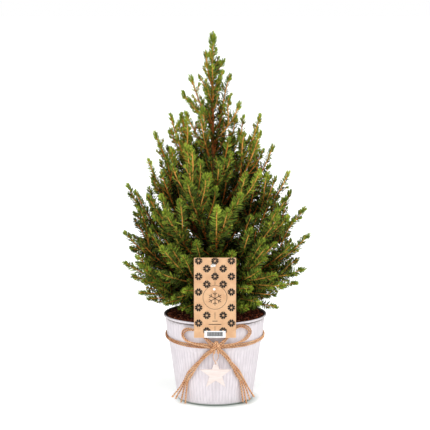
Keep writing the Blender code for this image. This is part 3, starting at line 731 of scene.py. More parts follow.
TAG_HALF_WIDTH = 28 * MM
TAG_FOOT = np.array([0, -73.4, 99.2]) * MM
TAG_HEIGHT = 108 * MM
TAG_LEAN = math.radians(2)
TAG_GAP_SIDE = 1 * MM  # what stays free of needles beside, above and behind the tag
TAG_GAP_TOP = 2 * MM
TAG_GAP_BACK = 1.5 * MM
OVER_POT = (64, 66, 74, 78), (114.5, 120, 120, 112)  # distances from the axis, least heights (mm)


def tag_plane(height):
    """How far forward the tag's back is at a height."""
    return TAG_FOOT[1] + (height - TAG_FOOT[2]) * math.tan(TAG_LEAN)


def is_free(points):
    """Which points are clear of the tag, the peat and the rim."""
    x, y, z = np.asarray(points).T
    radius = np.hypot(x, y)
    clear_of_tag = np.abs(x) > TAG_HALF_WIDTH + TAG_GAP_SIDE
    clear_of_tag |= z > TAG_FOOT[2] + TAG_HEIGHT + TAG_GAP_TOP
    clear_of_tag |= y > tag_plane(z) + TAG_GAP_BACK
    return clear_of_tag & (z > np.interp(radius / MM, *OVER_POT) * MM)


def stands_free(tip):
    return bool(is_free([tip])[0]) and tip[1] > CROWN_FOREMOST and tip[2] > CROWN_LOWEST


def beside(ahead, roll):
    """Unit directions across a shoot, turned round it by roll."""
    across = unit(np.cross(ahead, UP + 0.01))
    over = np.cross(across, ahead)
    return across * np.cos(roll)[:, None] + over * np.sin(roll)[:, None]


def grown_needles(shoot, draw):
    """Distances from the tip, feet and full reaches of the needles all along a shoot."""
    sparse_in_shade = 2.3 - 1.3 * float(exposure(shoot.path[-1]))
    spacing = NEEDLE_SPACING * sparse_in_shade
    from_tip = np.arange(0.3 * TUFT_LENGTH, shoot.length - shoot.bare, spacing)
    if shoot.rank == 0:
        shed = np.clip((from_tip - SHED_FROM) / SHED_OVER, 0, SHED_MOST)
        from_tip = from_tip[draw.random(len(from_tip)) > shed]
    count = len(from_tip)
    feet, ahead = shoot.at(shoot.length - from_tip)
    share = np.clip(from_tip / TUFT_LENGTH, 0, 1)
    angle = TUFT_ANGLE + (NEEDLE_ANGLE - TUFT_ANGLE) * share**0.8
    angle = angle * draw.uniform(0.7, 1.2, count)
    aside = beside(ahead, np.arange(count) * GOLDEN_ANGLE + draw.normal(0, 0.35, count))
    headings = ahead * np.cos(angle)[:, None] + aside * np.sin(angle)[:, None]
    lengths = NEEDLE_LENGTH * shoot.vigour * np.interp(from_tip, *SHORT_NEAR_TIP)
    lengths = lengths * draw.uniform(0.78, 1.1, count)
    if shoot.rank:
        lengths *= SIDE_NEEDLES
    below = (aside * unit(feet * [1, 1, 0])).sum(-1)
    keep = (below < PARTED) | (draw.random(count) < PARTED_LEFT)
    return from_tip[keep], feet[keep], (unit(headings + UP * 0.1) * lengths[:, None])[keep]


def tuft_needles(shoot, draw):
    """The same for the needles crowded round the bud, whose tips make a round-topped barrel."""
    head = shoot.head * float(np.interp(shoot.path[-1][2] / MM, *TUFT_HIGH))
    size = head * (SIDE_TUFT if shoot.rank else 1.0)
    count = int(TUFT_NEEDLES[min(shoot.rank, 1)] * head**2)
    height = draw.uniform(-0.6, 1.05, count)
    ring = np.sqrt(1 - 0.9 * np.clip(height, 0, 1) ** 2) * np.sqrt(draw.uniform(0.2, 1, count))
    rise = TUFT_RISE * size * draw.uniform(0.85, 1.1, count)
    above = TUFT_BEYOND * size * height
    from_tip = np.clip(rise - above, 0.2 * MM, shoot.length)
    feet, ahead = shoot.at(shoot.length - from_tip)
    aside = beside(ahead, draw.uniform(0, 2 * math.pi, count))
    reach = ahead * (above + from_tip)[:, None] + aside * (ring * TUFT_RADIUS * size)[:, None]
    return from_tip, feet, reach


def needles(shoot, draw):
    """Feet, headings, lengths, widths, sides and colour steps of one shoot's needles, with painted light
    and shade.
    """
    grown = grown_needles(shoot, draw)
    parts = zip(grown, tuft_needles(shoot, draw))
    from_tip, feet, reach = [np.concatenate(pair) for pair in parts]
    count = len(from_tip)
    lengths = np.linalg.norm(reach, axis=1)
    headings = unit(reach)
    widths = NEEDLE_WIDTH * draw.uniform(0.85, 1.1, count) * shoot.vigour**0.5
    widths[len(grown[0]):] *= TUFT_FINE
    _, ahead = shoot.at(shoot.length - from_tip)
    sides = turned_about(headings, ahead + draw.normal(0, 0.15, (count, 3)), draw.normal(0, 0.6, count))
    # Painted shade: darker deep in the crown and on its left; painted light higher up and on strong shoots.
    light = exposure(feet)
    side = feet[:, 0] / crown_radius(feet[:, 2])
    tone_with_painted_light = 0.7 + 3.1 * light**1.2 * np.interp(side, *PAINTED_SHADE_BY_SIDE)
    tone_with_painted_light += np.interp(feet[:, 2] / MM, *PAINTED_LIGHT_BY_HEIGHT)
    tone_with_painted_light += np.interp(shoot.vigour, *PAINTED_LIGHT_BY_VIGOUR)
    # Young tips are paler green, made brighter as a painted highlight where the crown is open.
    young = np.exp(-from_tip / YOUNG_REACH) * (0.3 + 0.7 * light)
    young *= np.interp(feet[:, 2] / MM, *YOUNG_BY_HEIGHT)
    tone_with_painted_light += (2.2 - 0.5 * shoot.rank) * young - 0.1
    tone_with_painted_light += draw.normal(0, 0.45) + draw.normal(0, 1.0, count)
    return feet, headings, lengths, widths, sides, tone_with_painted_light


def grow_crown():
    """Every shoot of the crown, by tier: boughs, shoots grown on from them and side shoots."""
    tiers = {}
    limbs = []
    for tier, boughs in BOUGHS.items():
        tiers[tier] = [
            bough(*sizes, BARE_FOOT if name in BARE_LIMBS else PLAIN_FOOT)
            for name, sizes in boughs.items()
        ]
        limbs += tiers[tier]
    leader_foot = trunk_centre(TRUNK_TOP - LEADER_BELOW)
    leader_path = np.linspace(leader_foot, LEADER_TOP, BOUGH_POINTS)
    leader = Shoot(leader_path, 0, LEADER_VIGOUR, head=LEADER_HEAD)
    tiers["top"].append(leader)
    limbs.append(leader)
    draw = np.random.default_rng(SEED)
    tips = [np.array(tip) * MM for tip in SHOOT_TIPS] + back_tips(draw)
    for tip in tips + inner_tips(draw):
        length = SHOOT_LENGTH * float(np.interp(tip[2] / MM, *SHORT_HIGH))
        tiers[tier_at(tip)].append(grown_on(tip, length, limbs))
    for tier in tiers:
        for shoot in list(tiers[tier]):
            spacing = LEADER_SPACING if shoot is leader else SIDE_SPACING
            for side in side_shoots(shoot, draw, spacing):
                tiers[tier].append(side)
                if side.length > BRANCHED:
                    tiers[tier].extend(side_shoots(side, draw))
    return tiers


TIERS_FROM = (("top", 397), ("shoulder", 335), ("flank", 285), ("side", 228), ("low", 178))  # mm


def tier_at(tip):
    for tier, lowest in TIERS_FROM:
        if tip[2] > lowest * MM:
            return tier
    return "skirt"


BACK_ROWS = (  # height (mm), share of the crown's radius and number of shoots
    (136, 0.93, 9), (172, 0.97, 9), (212, 0.96, 8), (250, 0.95, 8), (288, 0.93, 7), (322, 0.9, 6),
    (350, 0.88, 4), (378, 0.85, 3),
)
BACK_LIMIT = 116 * MM  # how far back their tips reach
INNER_SHOOTS = 115
INNER_HEIGHTS = (158, 362)  # mm
INNER_BEHIND = 345 * MM  # above this they stand behind the trunk only


def back_tips(draw):
    """Tips that make the crown as full behind as it is in front."""
    made = []
    for height, share, count in BACK_ROWS:
        for k in range(count):
            heading = math.pi * (0.06 + 0.88 * (k + draw.uniform(0.2, 0.8)) / count)
            tip_height = (height + draw.uniform(-14, 14)) * MM
            radius = crown_radius(tip_height) * share * draw.uniform(0.9, 1.02)
            radius = min(radius, BACK_LIMIT / max(math.sin(heading), 0.1))
            made.append(np.array([*polar(heading, radius), tip_height]))
    return made


def inner_tips(draw):
    """Tips that fill the crown's shaded inside, round the trunk."""
    made = []
    for k in range(INNER_SHOOTS):
        tip_height = draw.uniform(*INNER_HEIGHTS) * MM
        wide = crown_radius(tip_height)
        radius = wide * draw.uniform(0.22, 0.8)
        x, y = polar(GOLDEN_ANGLE * k, radius)
        if tip_height > INNER_BEHIND:
            y = abs(y)
        elif y < 0:
            y *= min(1, CROWN_FRONT / wide)
        made.append(np.array([x, y, tip_height]))
    return made


def make_crown():
    """Needles in one piece for each tier, and all the twigs in one piece."""
    greens = needle_finishes()
    browns = twig_finishes()
    tiers = grow_crown()
    twigs = Batch()
    draw = np.random.default_rng(SEED + 1)
    for tier, shoots in tiers.items():
        columns = [np.concatenate(parts) for parts in zip(*[needles(shoot, draw) for shoot in shoots])]
        feet, headings, lengths = columns[:3]
        keep = is_free(feet + headings * lengths[:, None]) & is_free(feet)
        feet, headings, lengths, widths, sides, tone_with_painted_light = [part[keep] for part in columns]
        points, corners = blades(feet, headings, lengths, widths, sides)
        # Each needle's colour step carries its painted light and shade.
        green = np.clip(np.round(tone_with_painted_light), 0, len(greens) - 1).astype(int)
        batch = Batch()
        batch.add(points, corners, np.repeat(green, 3))
        names = ["foliage_" + name for name in BOUGHS[tier]]
        if tier == "top":
            names.append("foliage_leader")
        batch.piece("needles_" + tier, greens, names, smooth=False)
        for shoot in shoots:
            if shoot.rank:
                points, corners = tube(shoot.path, shoot.radii(), TWIG_SIDES)
                twigs.add(points, corners, twig_painted_shade(shoot))
    twigs.piece("twigs", browns)
    return [shoot for shoots in tiers.values() for shoot in shoots if shoot.rank == 0], browns


TWIG_SIDES = 4
LIMB_SIDES = 6
LIMB_RELIEF = 0.22 * MM
PAINTED_SIDE_SHADE = (-0.9, -0.5, 0.5, 0.9), (0.9, 0, 0, 0.4)  # painted shade on the wood, from the crown's left to its right
# Steps of TWIG_BROWNS along a bough by distance from its tip (mm): pale young wood, dark old.
YOUNG_WOOD = (0, 6, 55, 90, 130), (3.4, 3, 2.6, 1.4, 0.4)


def side_painted_shade(tip):
    """How much darker the wood of the shoots at the crown's two sides is painted as shade, in steps."""
    return float(np.interp(tip[0] / crown_radius(tip[2]), *PAINTED_SIDE_SHADE))


def twig_painted_shade(shoot):
    tip = shoot.path[-1]
    # Painted shade: darker wood deep in the crown and at its sides.
    return int(np.clip(round(float(0.65 + 3 * exposure(tip)) - side_painted_shade(tip)), 0, 3))


def make_limbs(shoots, browns):
    """The boughs, with leaf cushions for relief, pale towards their tips and dark at the foot, and painted
    shade deep in the crown and at its sides.
    """
    batch = Batch()
    for shoot in shoots:
        points, corners = tube(shoot.path, shoot.radii(), LIMB_SIDES)
        relief = np.array([noise.noise(Vector(point) * 900) for point in points])
        centres = np.concatenate([np.repeat(shoot.path, LIMB_SIDES, axis=0), shoot.path[[0, -1]]])
        points = points + unit(points - centres + 1e-12) * relief[:, None] * LIMB_RELIEF
        from_tip = (shoot.length - shoot.run)[:-1]
        tip = shoot.path[-1]
        young = np.interp(from_tip / MM, *YOUNG_WOOD) + 0.25
        # Painted shade: darker wood where the tip is deep in the crown or at its sides.
        young = young - (1 - exposure(tip)) * 1.5 - side_painted_shade(tip)
        young = np.clip(np.round(young), 0, 4).astype(int)
        per_ring = np.repeat(young, LIMB_SIDES)
        ends = np.repeat(young[[0, -1]], LIMB_SIDES)
        batch.add(points, corners, np.concatenate([per_ring, per_ring, ends]))
    batch.piece("boughs", browns, ["bough_" + name for name in BARE_LIMBS])


# ------------------------------------------------------------------ trunk
TRUNK_SIDES = 36
TRUNK_RINGS = 260
FLARE_NOTCH = 0.16  # how deep the notches between the flare's lobes are, as a share
BARK_GRAIN = (620, 620, 240)
BARK_RELIEF = 0.35 * MM


def make_trunk():
    heights = TRUNK_FOOT + (TRUNK_TOP - TRUNK_FOOT) * np.linspace(0, 1, TRUNK_RINGS) ** 1.15
    angle = circle(TRUNK_SIDES)
    flare = np.exp(-(heights - TRUNK_FOOT) / FLARE_HEIGHT)[:, None]
    lobe = 1 - FLARE_NOTCH * flare * (1 - np.cos(FLARE_LOBES * angle))
    radius = trunk_radius(heights)[:, None] * lobe
    outward = around(1, angle, 0)
    grid = trunk_centre(heights)[:, None] + outward * radius[..., None]
    plate = np.array([[noise.noise(Vector(spot * BARK_GRAIN)) for spot in ring] for ring in grid])
    depth = BARK_RELIEF * np.interp(heights, (TRUNK_FOOT, TRUNK_TOP), (1, 0.5))[:, None]
    grid = grid + outward * (np.abs(plate) * 2 - 0.5)[..., None] * depth[..., None]
    grid[0, :, 2] = TRUNK_FOOT
    batch = Batch()
    batch.add(*capped(grid))
    batch.piece("trunk_bark", [bark_finish()], ["trunk"])


# ------------------------------------------------------------------ pot and peat
RIBS = 75
RIB_COLUMNS = 8
RIB_DEPTH = 0.34 * MM
RIB_DEPTH_BAND = 0.1 * MM
DENT_DEPTH = 0.3 * MM
DENTS_FROM = 20 * MM  # height from which the dents are full


def wall_radius(height):
    band_top = (POT_HEIGHT - 2 * RIM_BEAD, RIM_RADIUS - 2 * RIM_BEAD + POT_WALL)
    return np.interp(height, *zip((0, FOOT_RADIUS), SHOULDER_LOW, SHOULDER_HIGH, band_top))


def pot_outside():
    """Heights and radii of the wall's outside from the foot up, and how deep the ribs are there."""
    heights = np.concatenate([
        [0, 0.25, 0.8, 1.7, 5.2], np.linspace(6.2, 72, 12), [73.6, 74.5, 75.6, 78, 81, 83, 84, 85.2],
        np.linspace(88, 114.6, 9),
    ])
    ribs = (0, RIB_DEPTH, RIB_DEPTH, RIB_DEPTH_BAND, RIB_DEPTH_BAND, 0)
    depth = np.interp(heights, (5.2, 6.6, 72, 75.5, 112, 114), ribs)
    rolled = np.interp(heights, (0, 0.25, 0.8, 1.7), (2, 1.05, 0.3, 0)) * MM
    return heights * MM, wall_radius(heights * MM) - 0.35 * depth - rolled, depth


def make_pot():
    angle = circle(RIBS * RIB_COLUMNS)
    rib = (0.5 + 0.5 * np.cos(RIBS * angle)) ** 0.6
    rows = list(zip(*pot_outside()))
    for degrees in range(-80, 200, 20):
        out, up = polar(math.radians(degrees), RIM_BEAD)
        rows.append((POT_HEIGHT - RIM_BEAD + up, RIM_RADIUS - RIM_BEAD + out, 0))
    outside_rows = len(rows)
    for height in (114.6, 110, 84, 74.5, 40, POT_WALL / MM):
        rows.append((height * MM, wall_radius(height * MM) - POT_WALL, 0))
    grid = np.empty((len(rows), len(angle), 3))
    for k, (height, radius, depth) in enumerate(rows):
        dent = np.array([noise.noise(Vector((*polar(a, 2.2), height * 18))) for a in angle])
        reach = radius + depth * rib + dent * DENT_DEPTH * min(height / DENTS_FROM, 1)
        grid[k] = around(reach, angle, height)
    points, corners = capped(grid)
    points[-2] = (0, 0, 0)
    points[-1] = (0, 0, POT_WALL)
    inside = corners.max(axis=1) >= outside_rows * len(angle)
    batch = Batch()
    batch.add(points, corners, inside.astype(int))
    batch.piece("pot_zinc_shell", [zinc_finish(RIBS), bare_zinc_painted_shade_finish()], ["pot"])


PEAT_RINGS = 46
PEAT_SPOKES = 150
PEAT_ROUGH = 1.5 * MM
PEAT_SKIRT = 30 * MM  # how deep its sides reach
LEVEL_RADIUS = 9 * MM  # the peat is level round the trunk's foot
LEVEL_FADE = 8 * MM
HEAPED = 3.8 * MM  # how much higher the peat stands against the pot's wall
HEAP_FROM = 46 * MM  # how far from the middle the peat starts to rise
HEAP_WIDTH = 20 * MM
CRUMBS = 2600
CRUMB_SIZE = 0.95 * MM
CRUMB_SHARES = (0.38, 0.34, 0.2, 0.08)  # of the steps of PEAT_BROWNS


def crumb_shape():
    """An octahedron's points and triangles, which each crumb squashes its own way."""
    points = np.array([(1, 0, 0), (0, 1, 0), (-1, 0, 0), (0, -1, 0), (0, 0, 1), (0, 0, -1)], float)
    top = [(k, (k + 1) % 4, 4) for k in range(4)]
    bottom = [((k + 1) % 4, k, 5) for k in range(4)]
    return points, np.array(top + bottom)


def heap(radius):
    """How much higher the peat stands at a distance from the middle."""
    return HEAPED * np.clip((radius - HEAP_FROM) / HEAP_WIDTH, 0, 1)


def peat_surface(inner):
    radii = np.linspace(0.02, 1, PEAT_RINGS) * inner
    grid = around(radii[:, None], circle(PEAT_SPOKES), SOIL_TOP)
    rough = np.array([
        [noise.noise(Vector(p) * 160) + 0.6 * noise.noise(Vector(p) * 420) for p in ring] for ring in grid
    ])
    calm = np.clip((radii - LEVEL_RADIUS) / LEVEL_FADE, 0, 1)[:, None]
    grid[..., 2] += rough * PEAT_ROUGH * calm + heap(radii)[:, None]
    skirt = grid[-1] * [0.93, 0.93, 1]
    skirt[:, 2] = SOIL_TOP - PEAT_SKIRT
    return capped(np.concatenate([skirt[None], grid[::-1]]))


def make_peat():
    """The root ball's crumbly top: a rough surface strewn with crumbs and bits of bark."""
    draw = np.random.default_rng(SEED + 2)
    inner = wall_radius(SOIL_TOP) - POT_WALL - 0.3 * MM
    batch = Batch()
    batch.add(*peat_surface(inner))
    shape, faces = crumb_shape()
    radius = inner * np.sqrt(draw.uniform(0.03, 0.965, CRUMBS))
    turn = draw.uniform(0, 2 * math.pi, CRUMBS)
    sizes = draw.lognormal(0, 0.42, CRUMBS) * CRUMB_SIZE
    spots = around(radius, turn, SOIL_TOP + 0.35 * sizes + heap(radius))
    for spot, size in zip(spots, sizes):
        squash = draw.uniform(0.55, 1.35, (6, 1)) * [1, 1, 0.7]
        c, s = polar(draw.uniform(0, 2 * math.pi))
        points = shape * squash @ np.array([[c, s, 0.2], [-s, c, 0.1], [0.1, -0.2, 1]]) * size
        batch.add(points + spot, faces, int(draw.choice(4, p=CRUMB_SHARES)))
    batch.piece("peat_top", peat_finishes(), ["soil"], smooth=False)


# ------------------------------------------------------------------ jute band and bow
STRAND_RADIUS = 1.3 * MM
PLY_SIDES = 6
PLY_SHARE = 0.56  # a ply's radius beside the strand's
PLY_OFFSET = 0.48  # how far it lies from the strand's middle, in the same measure
PLY_TURN = 7.5 * MM  # length of one turn of a strand's two plies
PAINTED_SHADE_COLUMNS = (1, 2, 3)  # the sides of a ply that lie against its neighbour, and one flank: painted shade
STEP = 0.9 * MM
FUZZ_SHARE = 0.8  # loose fibres for each step of a strand
FUZZ_WIDTH = 0.13 * MM
FRAYED_COUNT = 40
FRAYED_WIDTH = 0.3 * MM
FIBRES_ABOVE = 0.1 * MM  # least height of a fibre over the floor
BAND_POINTS = 480
BAND_HEIGHT = 88.2 * MM
BAND_DIP = 3.6 * MM
KNOT_CENTRE = np.array([1.6, -71.8, 85.2]) * MM
KNOT_SIZE = np.array([9.6, 4.8, 8.8]) * MM
KNOT_STRAND = 1.6 * MM
KNOT_WRAPS = (  # tilt from upright (degrees), shift along the knot (share) and size
    (26, -0.6, 0.82), (10, -0.2, 1.0), (-6, 0.24, 1.0), (-26, 0.62, 0.8), (58, -0.1, 0.9),
)
KNOT_CORE_REACH = 6.4 * MM
KNOT_CORE_RADII = np.array([0.5, 1.8, 2.4, 2.7, 2.8, 2.7, 2.4, 1.8, 0.5]) * MM
# Routes of the bow, as in the CAD: x, height and stand-off from the pot's wall (mm).
LOOP_LEFT = (
    (-2, 85, 5), (-8, 86.8, 5), (-15, 88.4, 5), (-27, 89.4, 4.8), (-37.5, 91.6, 4), (-43, 97.5, 3),
    (-41.8, 104.2, 3), (-36, 108, 3.6), (-26, 108, 4.6), (-17.5, 103.4, 5), (-12.4, 97.6, 5),
    (-7, 92, 5.6), (-1, 86.6, 7),
)
LOOP_RIGHT = (
    (5, 85, 5), (11, 86.4, 5), (19, 87.6, 5), (28, 89.2, 4.8), (38.5, 92.6, 4), (45.2, 98, 3),
    (46.8, 103.6, 3), (42, 110, 3.6), (33.5, 113, 4.6), (27, 110, 5), (22, 103.5, 5),
    (16, 97.6, 5), (10.4, 92, 5.6), (5, 86.6, 7),
)
# Each tail's strands share a route down from the knot, then part for an end of their own.
TAIL_LEFT = (
    (-1, 83, 6), (-5.5, 79.6, 4.6), (-14.9, 71.2, 3.8), (-22.8, 62.2, 3.5), (-30, 50.8, 3.4),
    (-34.8, 42.6, 3.2),
)
TAIL_LEFT_ENDS = (
    ((-42, 33, 5), (-48, 23.5, 12), (-57.2, 12.5, 22)),
    ((-41, 30.5, 3.4), (-45.5, 21.5, 8), (-53, 9.5, 18)),
    ((-39.4, 29.5, 3.8), (-42.6, 19.5, 5), (-45.8, 3, 9)),
    ((-36.6, 33.4, 2.8), (-38.6, 20, 4), (-40.3, 2.4, 6.5)),
)
TAIL_RIGHT = (
    (4, 83, 6), (8, 79, 4.6), (16.8, 69.4, 3.8), (23.4, 60, 3.5), (28, 51.2, 3.4), (31.8, 43.6, 3.2),
)
TAIL_RIGHT_ENDS = (
    ((33, 36, 2.8), (35.4, 24, 4), (37.7, 4.6, 5.5)), ((35.4, 34.6, 3.6), (39, 22, 5), (42.2, 2.4, 8)),
    ((38, 34, 3), (42, 23, 6), (46.7, 8, 11)), ((40, 32.6, 3.8), (45.4, 22.4, 8), (52.1, 12, 16)),
)
TAIL_TWIST = 4.5  # radians by which a tail's strands wind round each other
TAIL_SPREAD = (0, 0.5, 1), (1.5, 2.1, 3.4)  # shares of the way down, and how far apart they are (mm)


def before_wall(x, height, off):
    """A point in front of the pot, off its wall by off. Lengths are in mm."""
    radius = wall_radius(height * MM) + off * MM
    return np.array([x * MM, -math.sqrt(max(radius**2 - (x * MM) ** 2, 0)), height * MM])


def smooth_path(corners, step=STEP):
    """A Catmull-Rom curve through the corners, read at even steps."""
    corners = np.array(corners)
    ends = np.concatenate([[2 * corners[0] - corners[1]], corners, [2 * corners[-1] - corners[-2]]])
    a, b, c, d = ends[:-3, None], ends[1:-2, None], ends[2:-1, None], ends[3:, None]
    t = np.linspace(0, 1, 24, endpoint=False)[None, :, None]
    fine = 0.5 * (2 * b + (c - a) * t + (2 * a - 5 * b + 4 * c - d) * t**2 + (3 * b - a - 3 * c + d) * t**3)
    fine = np.concatenate([fine.reshape(-1, 3), corners[-1:]])
    run = run_along(fine)
    wanted = np.linspace(0, run[-1], max(int(run[-1] / step), 8))
    return np.stack([np.interp(wanted, run, fine[:, k]) for k in range(3)], -1)


def off_axis(path):
    """Directions away from the pot's axis, for laying cords against its wall."""
    return unit(path * [1, 1, 0])


def strand(batch, path, guide, radius=STRAND_RADIUS, closed=False, phase=0.0, draw=None):
    """A cord of two plies twisted round each other along the path, with fuzz where draw is given."""
    across, over = crossways(along(path), guide)
    run = run_along(path)
    turns = run[-1] / PLY_TURN
    turns = round(turns) if closed else turns
    column = np.tile(np.arange(PLY_SIDES), len(path) - 1)
    # Painted shade on the sides of each ply that lie in the lay's groove and on one flank.
    painted_groove_shade = np.isin(column, PAINTED_SHADE_COLUMNS)
    finish = np.concatenate([painted_groove_shade, painted_groove_shade, np.zeros(2 * PLY_SIDES)])
    for ply in (0, 1):
        twist = phase + math.pi * ply + 2 * math.pi * turns * run / run[-1]
        offset = across * np.cos(twist)[:, None] + over * np.sin(twist)[:, None]
        thick = radius * (PLY_SHARE + 0.05 * np.sin(run / MM * 1.7 + ply))
        points, corners = tube(path + offset * radius * PLY_OFFSET, thick, PLY_SIDES, offset)
        batch.add(points, corners, finish)
    if draw is not None:
        fuzz(batch, path, across, over, radius, draw)


def fibres(batch, feet, headings, lengths, width, sides):
    points, corners = blades(feet, headings, lengths, np.full(len(feet), width), sides)
    points[:, :, 2] = np.maximum(points[:, :, 2], FIBRES_ABOVE)
    batch.add(points, corners)


def fuzz(batch, path, across, over, radius, draw):
    """Short loose fibres that stand out from a cord."""
    count = int(len(path) * FUZZ_SHARE)
    pick = draw.integers(0, len(path), count)
    roll = draw.uniform(0, 2 * math.pi, count)[:, None]
    out = across[pick] * np.cos(roll) + over[pick] * np.sin(roll)
    lean = along(path)[pick] * draw.uniform(-1, 1, (count, 1)) * 1.6
    lengths = draw.uniform(0.8, 2.2, count) * MM
    headings = unit(out + lean)
    sides = turned_about(headings, path[pick], roll[:, 0])
    fibres(batch, path[pick] + out * radius * 0.85, headings, lengths, FUZZ_WIDTH, sides)


def side_by_side(path, guide, spread):
    """Two paths beside the given one, which wind once round each other."""
    across, over = crossways(along(path), guide)
    twist = np.linspace(0, 2 * math.pi, len(path))[:, None]
    offset = (across * np.cos(twist) + over * 0.55 * np.sin(twist)) * spread
    return path + offset, path - offset


def make_band(jute, draw):
    """Two strands side by side round the pot, pulled down a little by the bow in front."""
    batch = Batch()
    angle = np.linspace(0, 2 * math.pi, BAND_POINTS)
    for side in (-1, 1):
        height = BAND_HEIGHT + BAND_DIP * np.sin(angle) + side * STRAND_RADIUS * 0.95
        height = height + side * 0.25 * MM * np.sin(5 * angle)
        path = around(wall_radius(height) + STRAND_RADIUS + 0.15 * MM, angle, height)
        strand(batch, path, off_axis(path), closed=True, phase=side, draw=draw)
    batch.piece("jute_band", jute, ["twine_band"])


def make_bow(jute, draw):
    for name, route in (("left", LOOP_LEFT), ("right", LOOP_RIGHT)):
        batch = Batch()
        path = smooth_path([before_wall(*spot) for spot in route])
        for twin in side_by_side(path, off_axis(path), STRAND_RADIUS * 1.15):
            strand(batch, twin, off_axis(twin), draw=draw)
        batch.piece("jute_loop_" + name, jute, ["bow_loop_" + name])
    tails = ("left", 1, TAIL_LEFT, TAIL_LEFT_ENDS), ("right", -1, TAIL_RIGHT, TAIL_RIGHT_ENDS)
    for name, hand, route, ends in tails:
        batch = Batch()
        for k, own_end in enumerate(ends):
            path = smooth_path(tail_route(route, k, own_end, hand))
            strand(batch, path, off_axis(path), phase=k, draw=draw)
            frayed_end(batch, path, draw)
        batch.piece("jute_tail_" + name, jute, ["bow_tail_" + name])


def tail_route(route, strand_number, own_end, hand):
    """One strand's way down a tail: wound round the others at the knot, then beside them, then apart."""
    shared = np.array([before_wall(*spot) for spot in route])
    outward = off_axis(shared)
    aside = unit(np.cross(along(shared), outward)) * hand
    order = strand_number if hand > 0 else 3 - strand_number
    turn = math.pi * order / 3 + TAIL_TWIST * np.linspace(1, 0, len(route)) ** 1.3
    spread = np.interp(np.linspace(0, 1, len(route)), *TAIL_SPREAD) * MM
    offset = aside * np.cos(turn)[:, None] + outward * 0.6 * np.sin(turn)[:, None]
    shared = shared + offset * spread[:, None]
    return list(shared) + [before_wall(*spot) for spot in own_end]


def frayed_end(batch, path, draw):
    """Loose fibres where a strand was cut."""
    ahead = along(path)[-1]
    spread = draw.normal(0, 0.42, (FRAYED_COUNT, 3))
    feet = path[-1] - ahead * 1.2 * MM + draw.normal(0, 0.35, (FRAYED_COUNT, 3)) * MM
    headings = unit(ahead + spread)
    sides = turned_about(headings, spread[::-1], np.zeros(FRAYED_COUNT))
    lengths = draw.uniform(1.8, 3.6, FRAYED_COUNT) * MM
    fibres(batch, feet, headings, lengths, FRAYED_WIDTH, sides)


def make_knot(jute, draw):
    """The knot: strands wrapped round and across each other."""
    batch = Batch()
    angle = np.linspace(0, 2 * math.pi, 44)
    for tilt, shift, size in KNOT_WRAPS:
        lean = math.radians(tilt)
        upright = np.stack(np.broadcast_arrays(float(shift), np.cos(angle), np.sin(angle)), -1)
        turned = upright @ np.array([
            [math.cos(lean), 0, -math.sin(lean)], [0, 1, 0], [math.sin(lean) * 0.8, 0, math.cos(lean)],
        ])
        path = KNOT_CENTRE + turned * (KNOT_SIZE - KNOT_STRAND * 0.9) * size
        outward = unit((path - KNOT_CENTRE) / KNOT_SIZE**2)
        strand(batch, path, outward, KNOT_STRAND, closed=True, phase=tilt, draw=draw)
    reach = np.array([KNOT_CORE_REACH, 0, 0])
    core = np.linspace(KNOT_CENTRE - reach, KNOT_CENTRE + reach, len(KNOT_CORE_RADII))
    # Its core takes the darker jute, as painted shade between the wraps.
    batch.add(*tube(core, KNOT_CORE_RADII, 10), 1)
    batch.piece("jute_knot", jute, ["twine_knot"])


# ------------------------------------------------------------------ star
STAR_CENTRE = np.array([1, -69, 48.2]) * MM
STAR_RADIUS = 20.2 * MM
STAR_STRETCH = 1.05
STAR_INNER = 0.41
STAR_THICK = 3 * MM
STAR_EDGE = 0.35 * MM  # rounding of its edges
STAR_HOLE_RADIUS = 1.3 * MM
STAR_HOLE_UP = 14 * MM
STRING_RADIUS = 0.5 * MM
STRING_STEP = 0.35 * MM
# Way of the star's string (mm) from the middle of its hole, which it passes through half way.
STRING_ROUTE = (
    (-3.2, -2.3, 8.5), (-0.8, -2.4, 3), (0, 0, 0.55), (0.8, 2.2, 3), (3.2, 1.6, 8.5),
)
STRING_ENDS = (-3.6, -1.6), (3.6, -0.6)  # its ends in the knot: across and forward (mm)
STRING_BELOW_KNOT = 5 * MM


def flat_sheet(name, loops, thickness, edge):
    """Points and triangles of a flat sheet between outlines in its XY plane; inner ones are holes."""
    curve = bpy.data.curves.new(name, "CURVE")
    curve.dimensions = "2D"
    curve.fill_mode = "BOTH"
    curve.extrude = thickness / 2 - edge
    curve.bevel_depth = edge
    curve.bevel_resolution = 2
    for loop in loops:
        spline = curve.splines.new("POLY")
        spline.points.add(len(loop) - 1)
        spline.use_cyclic_u = True
        for spot, place in zip(spline.points, loop):
            spot.co = (place[0], place[1], 0, 1)
    holder = placed(name, curve)
    bpy.context.view_layer.update()
    mesh = bpy.data.meshes.new_from_object(holder.evaluated_get(bpy.context.evaluated_depsgraph_get()))
    bpy.data.objects.remove(holder)
    mesh.calc_loop_triangles()
    points = np.array([vertex.co for vertex in mesh.vertices])
    corners = np.array([triangle.vertices for triangle in mesh.loop_triangles])
    return points, corners


def ring_of(radius, middle, count):
    return [middle + polar(a, radius) for a in circle(count)]


def make_star():
    outline = []
    for k in range(10):
        radius = (STAR_RADIUS - STAR_EDGE) * (STAR_INNER if k % 2 else 1)
        outline.append(polar(math.pi / 2 + math.pi * k / 5, radius) * [STAR_STRETCH, 1])
    hole = ring_of(STAR_HOLE_RADIUS + STAR_EDGE, (0, STAR_HOLE_UP), 20)
    points, corners = flat_sheet("star_sheet", [outline, hole], STAR_THICK, STAR_EDGE)
    points = np.stack([points[:, 0], -points[:, 2], points[:, 1]], -1) + STAR_CENTRE
    batch = Batch()
    batch.add(points, corners)
    batch.piece("wooden_star", [white_wood_finish()], ["star"], smooth=False)


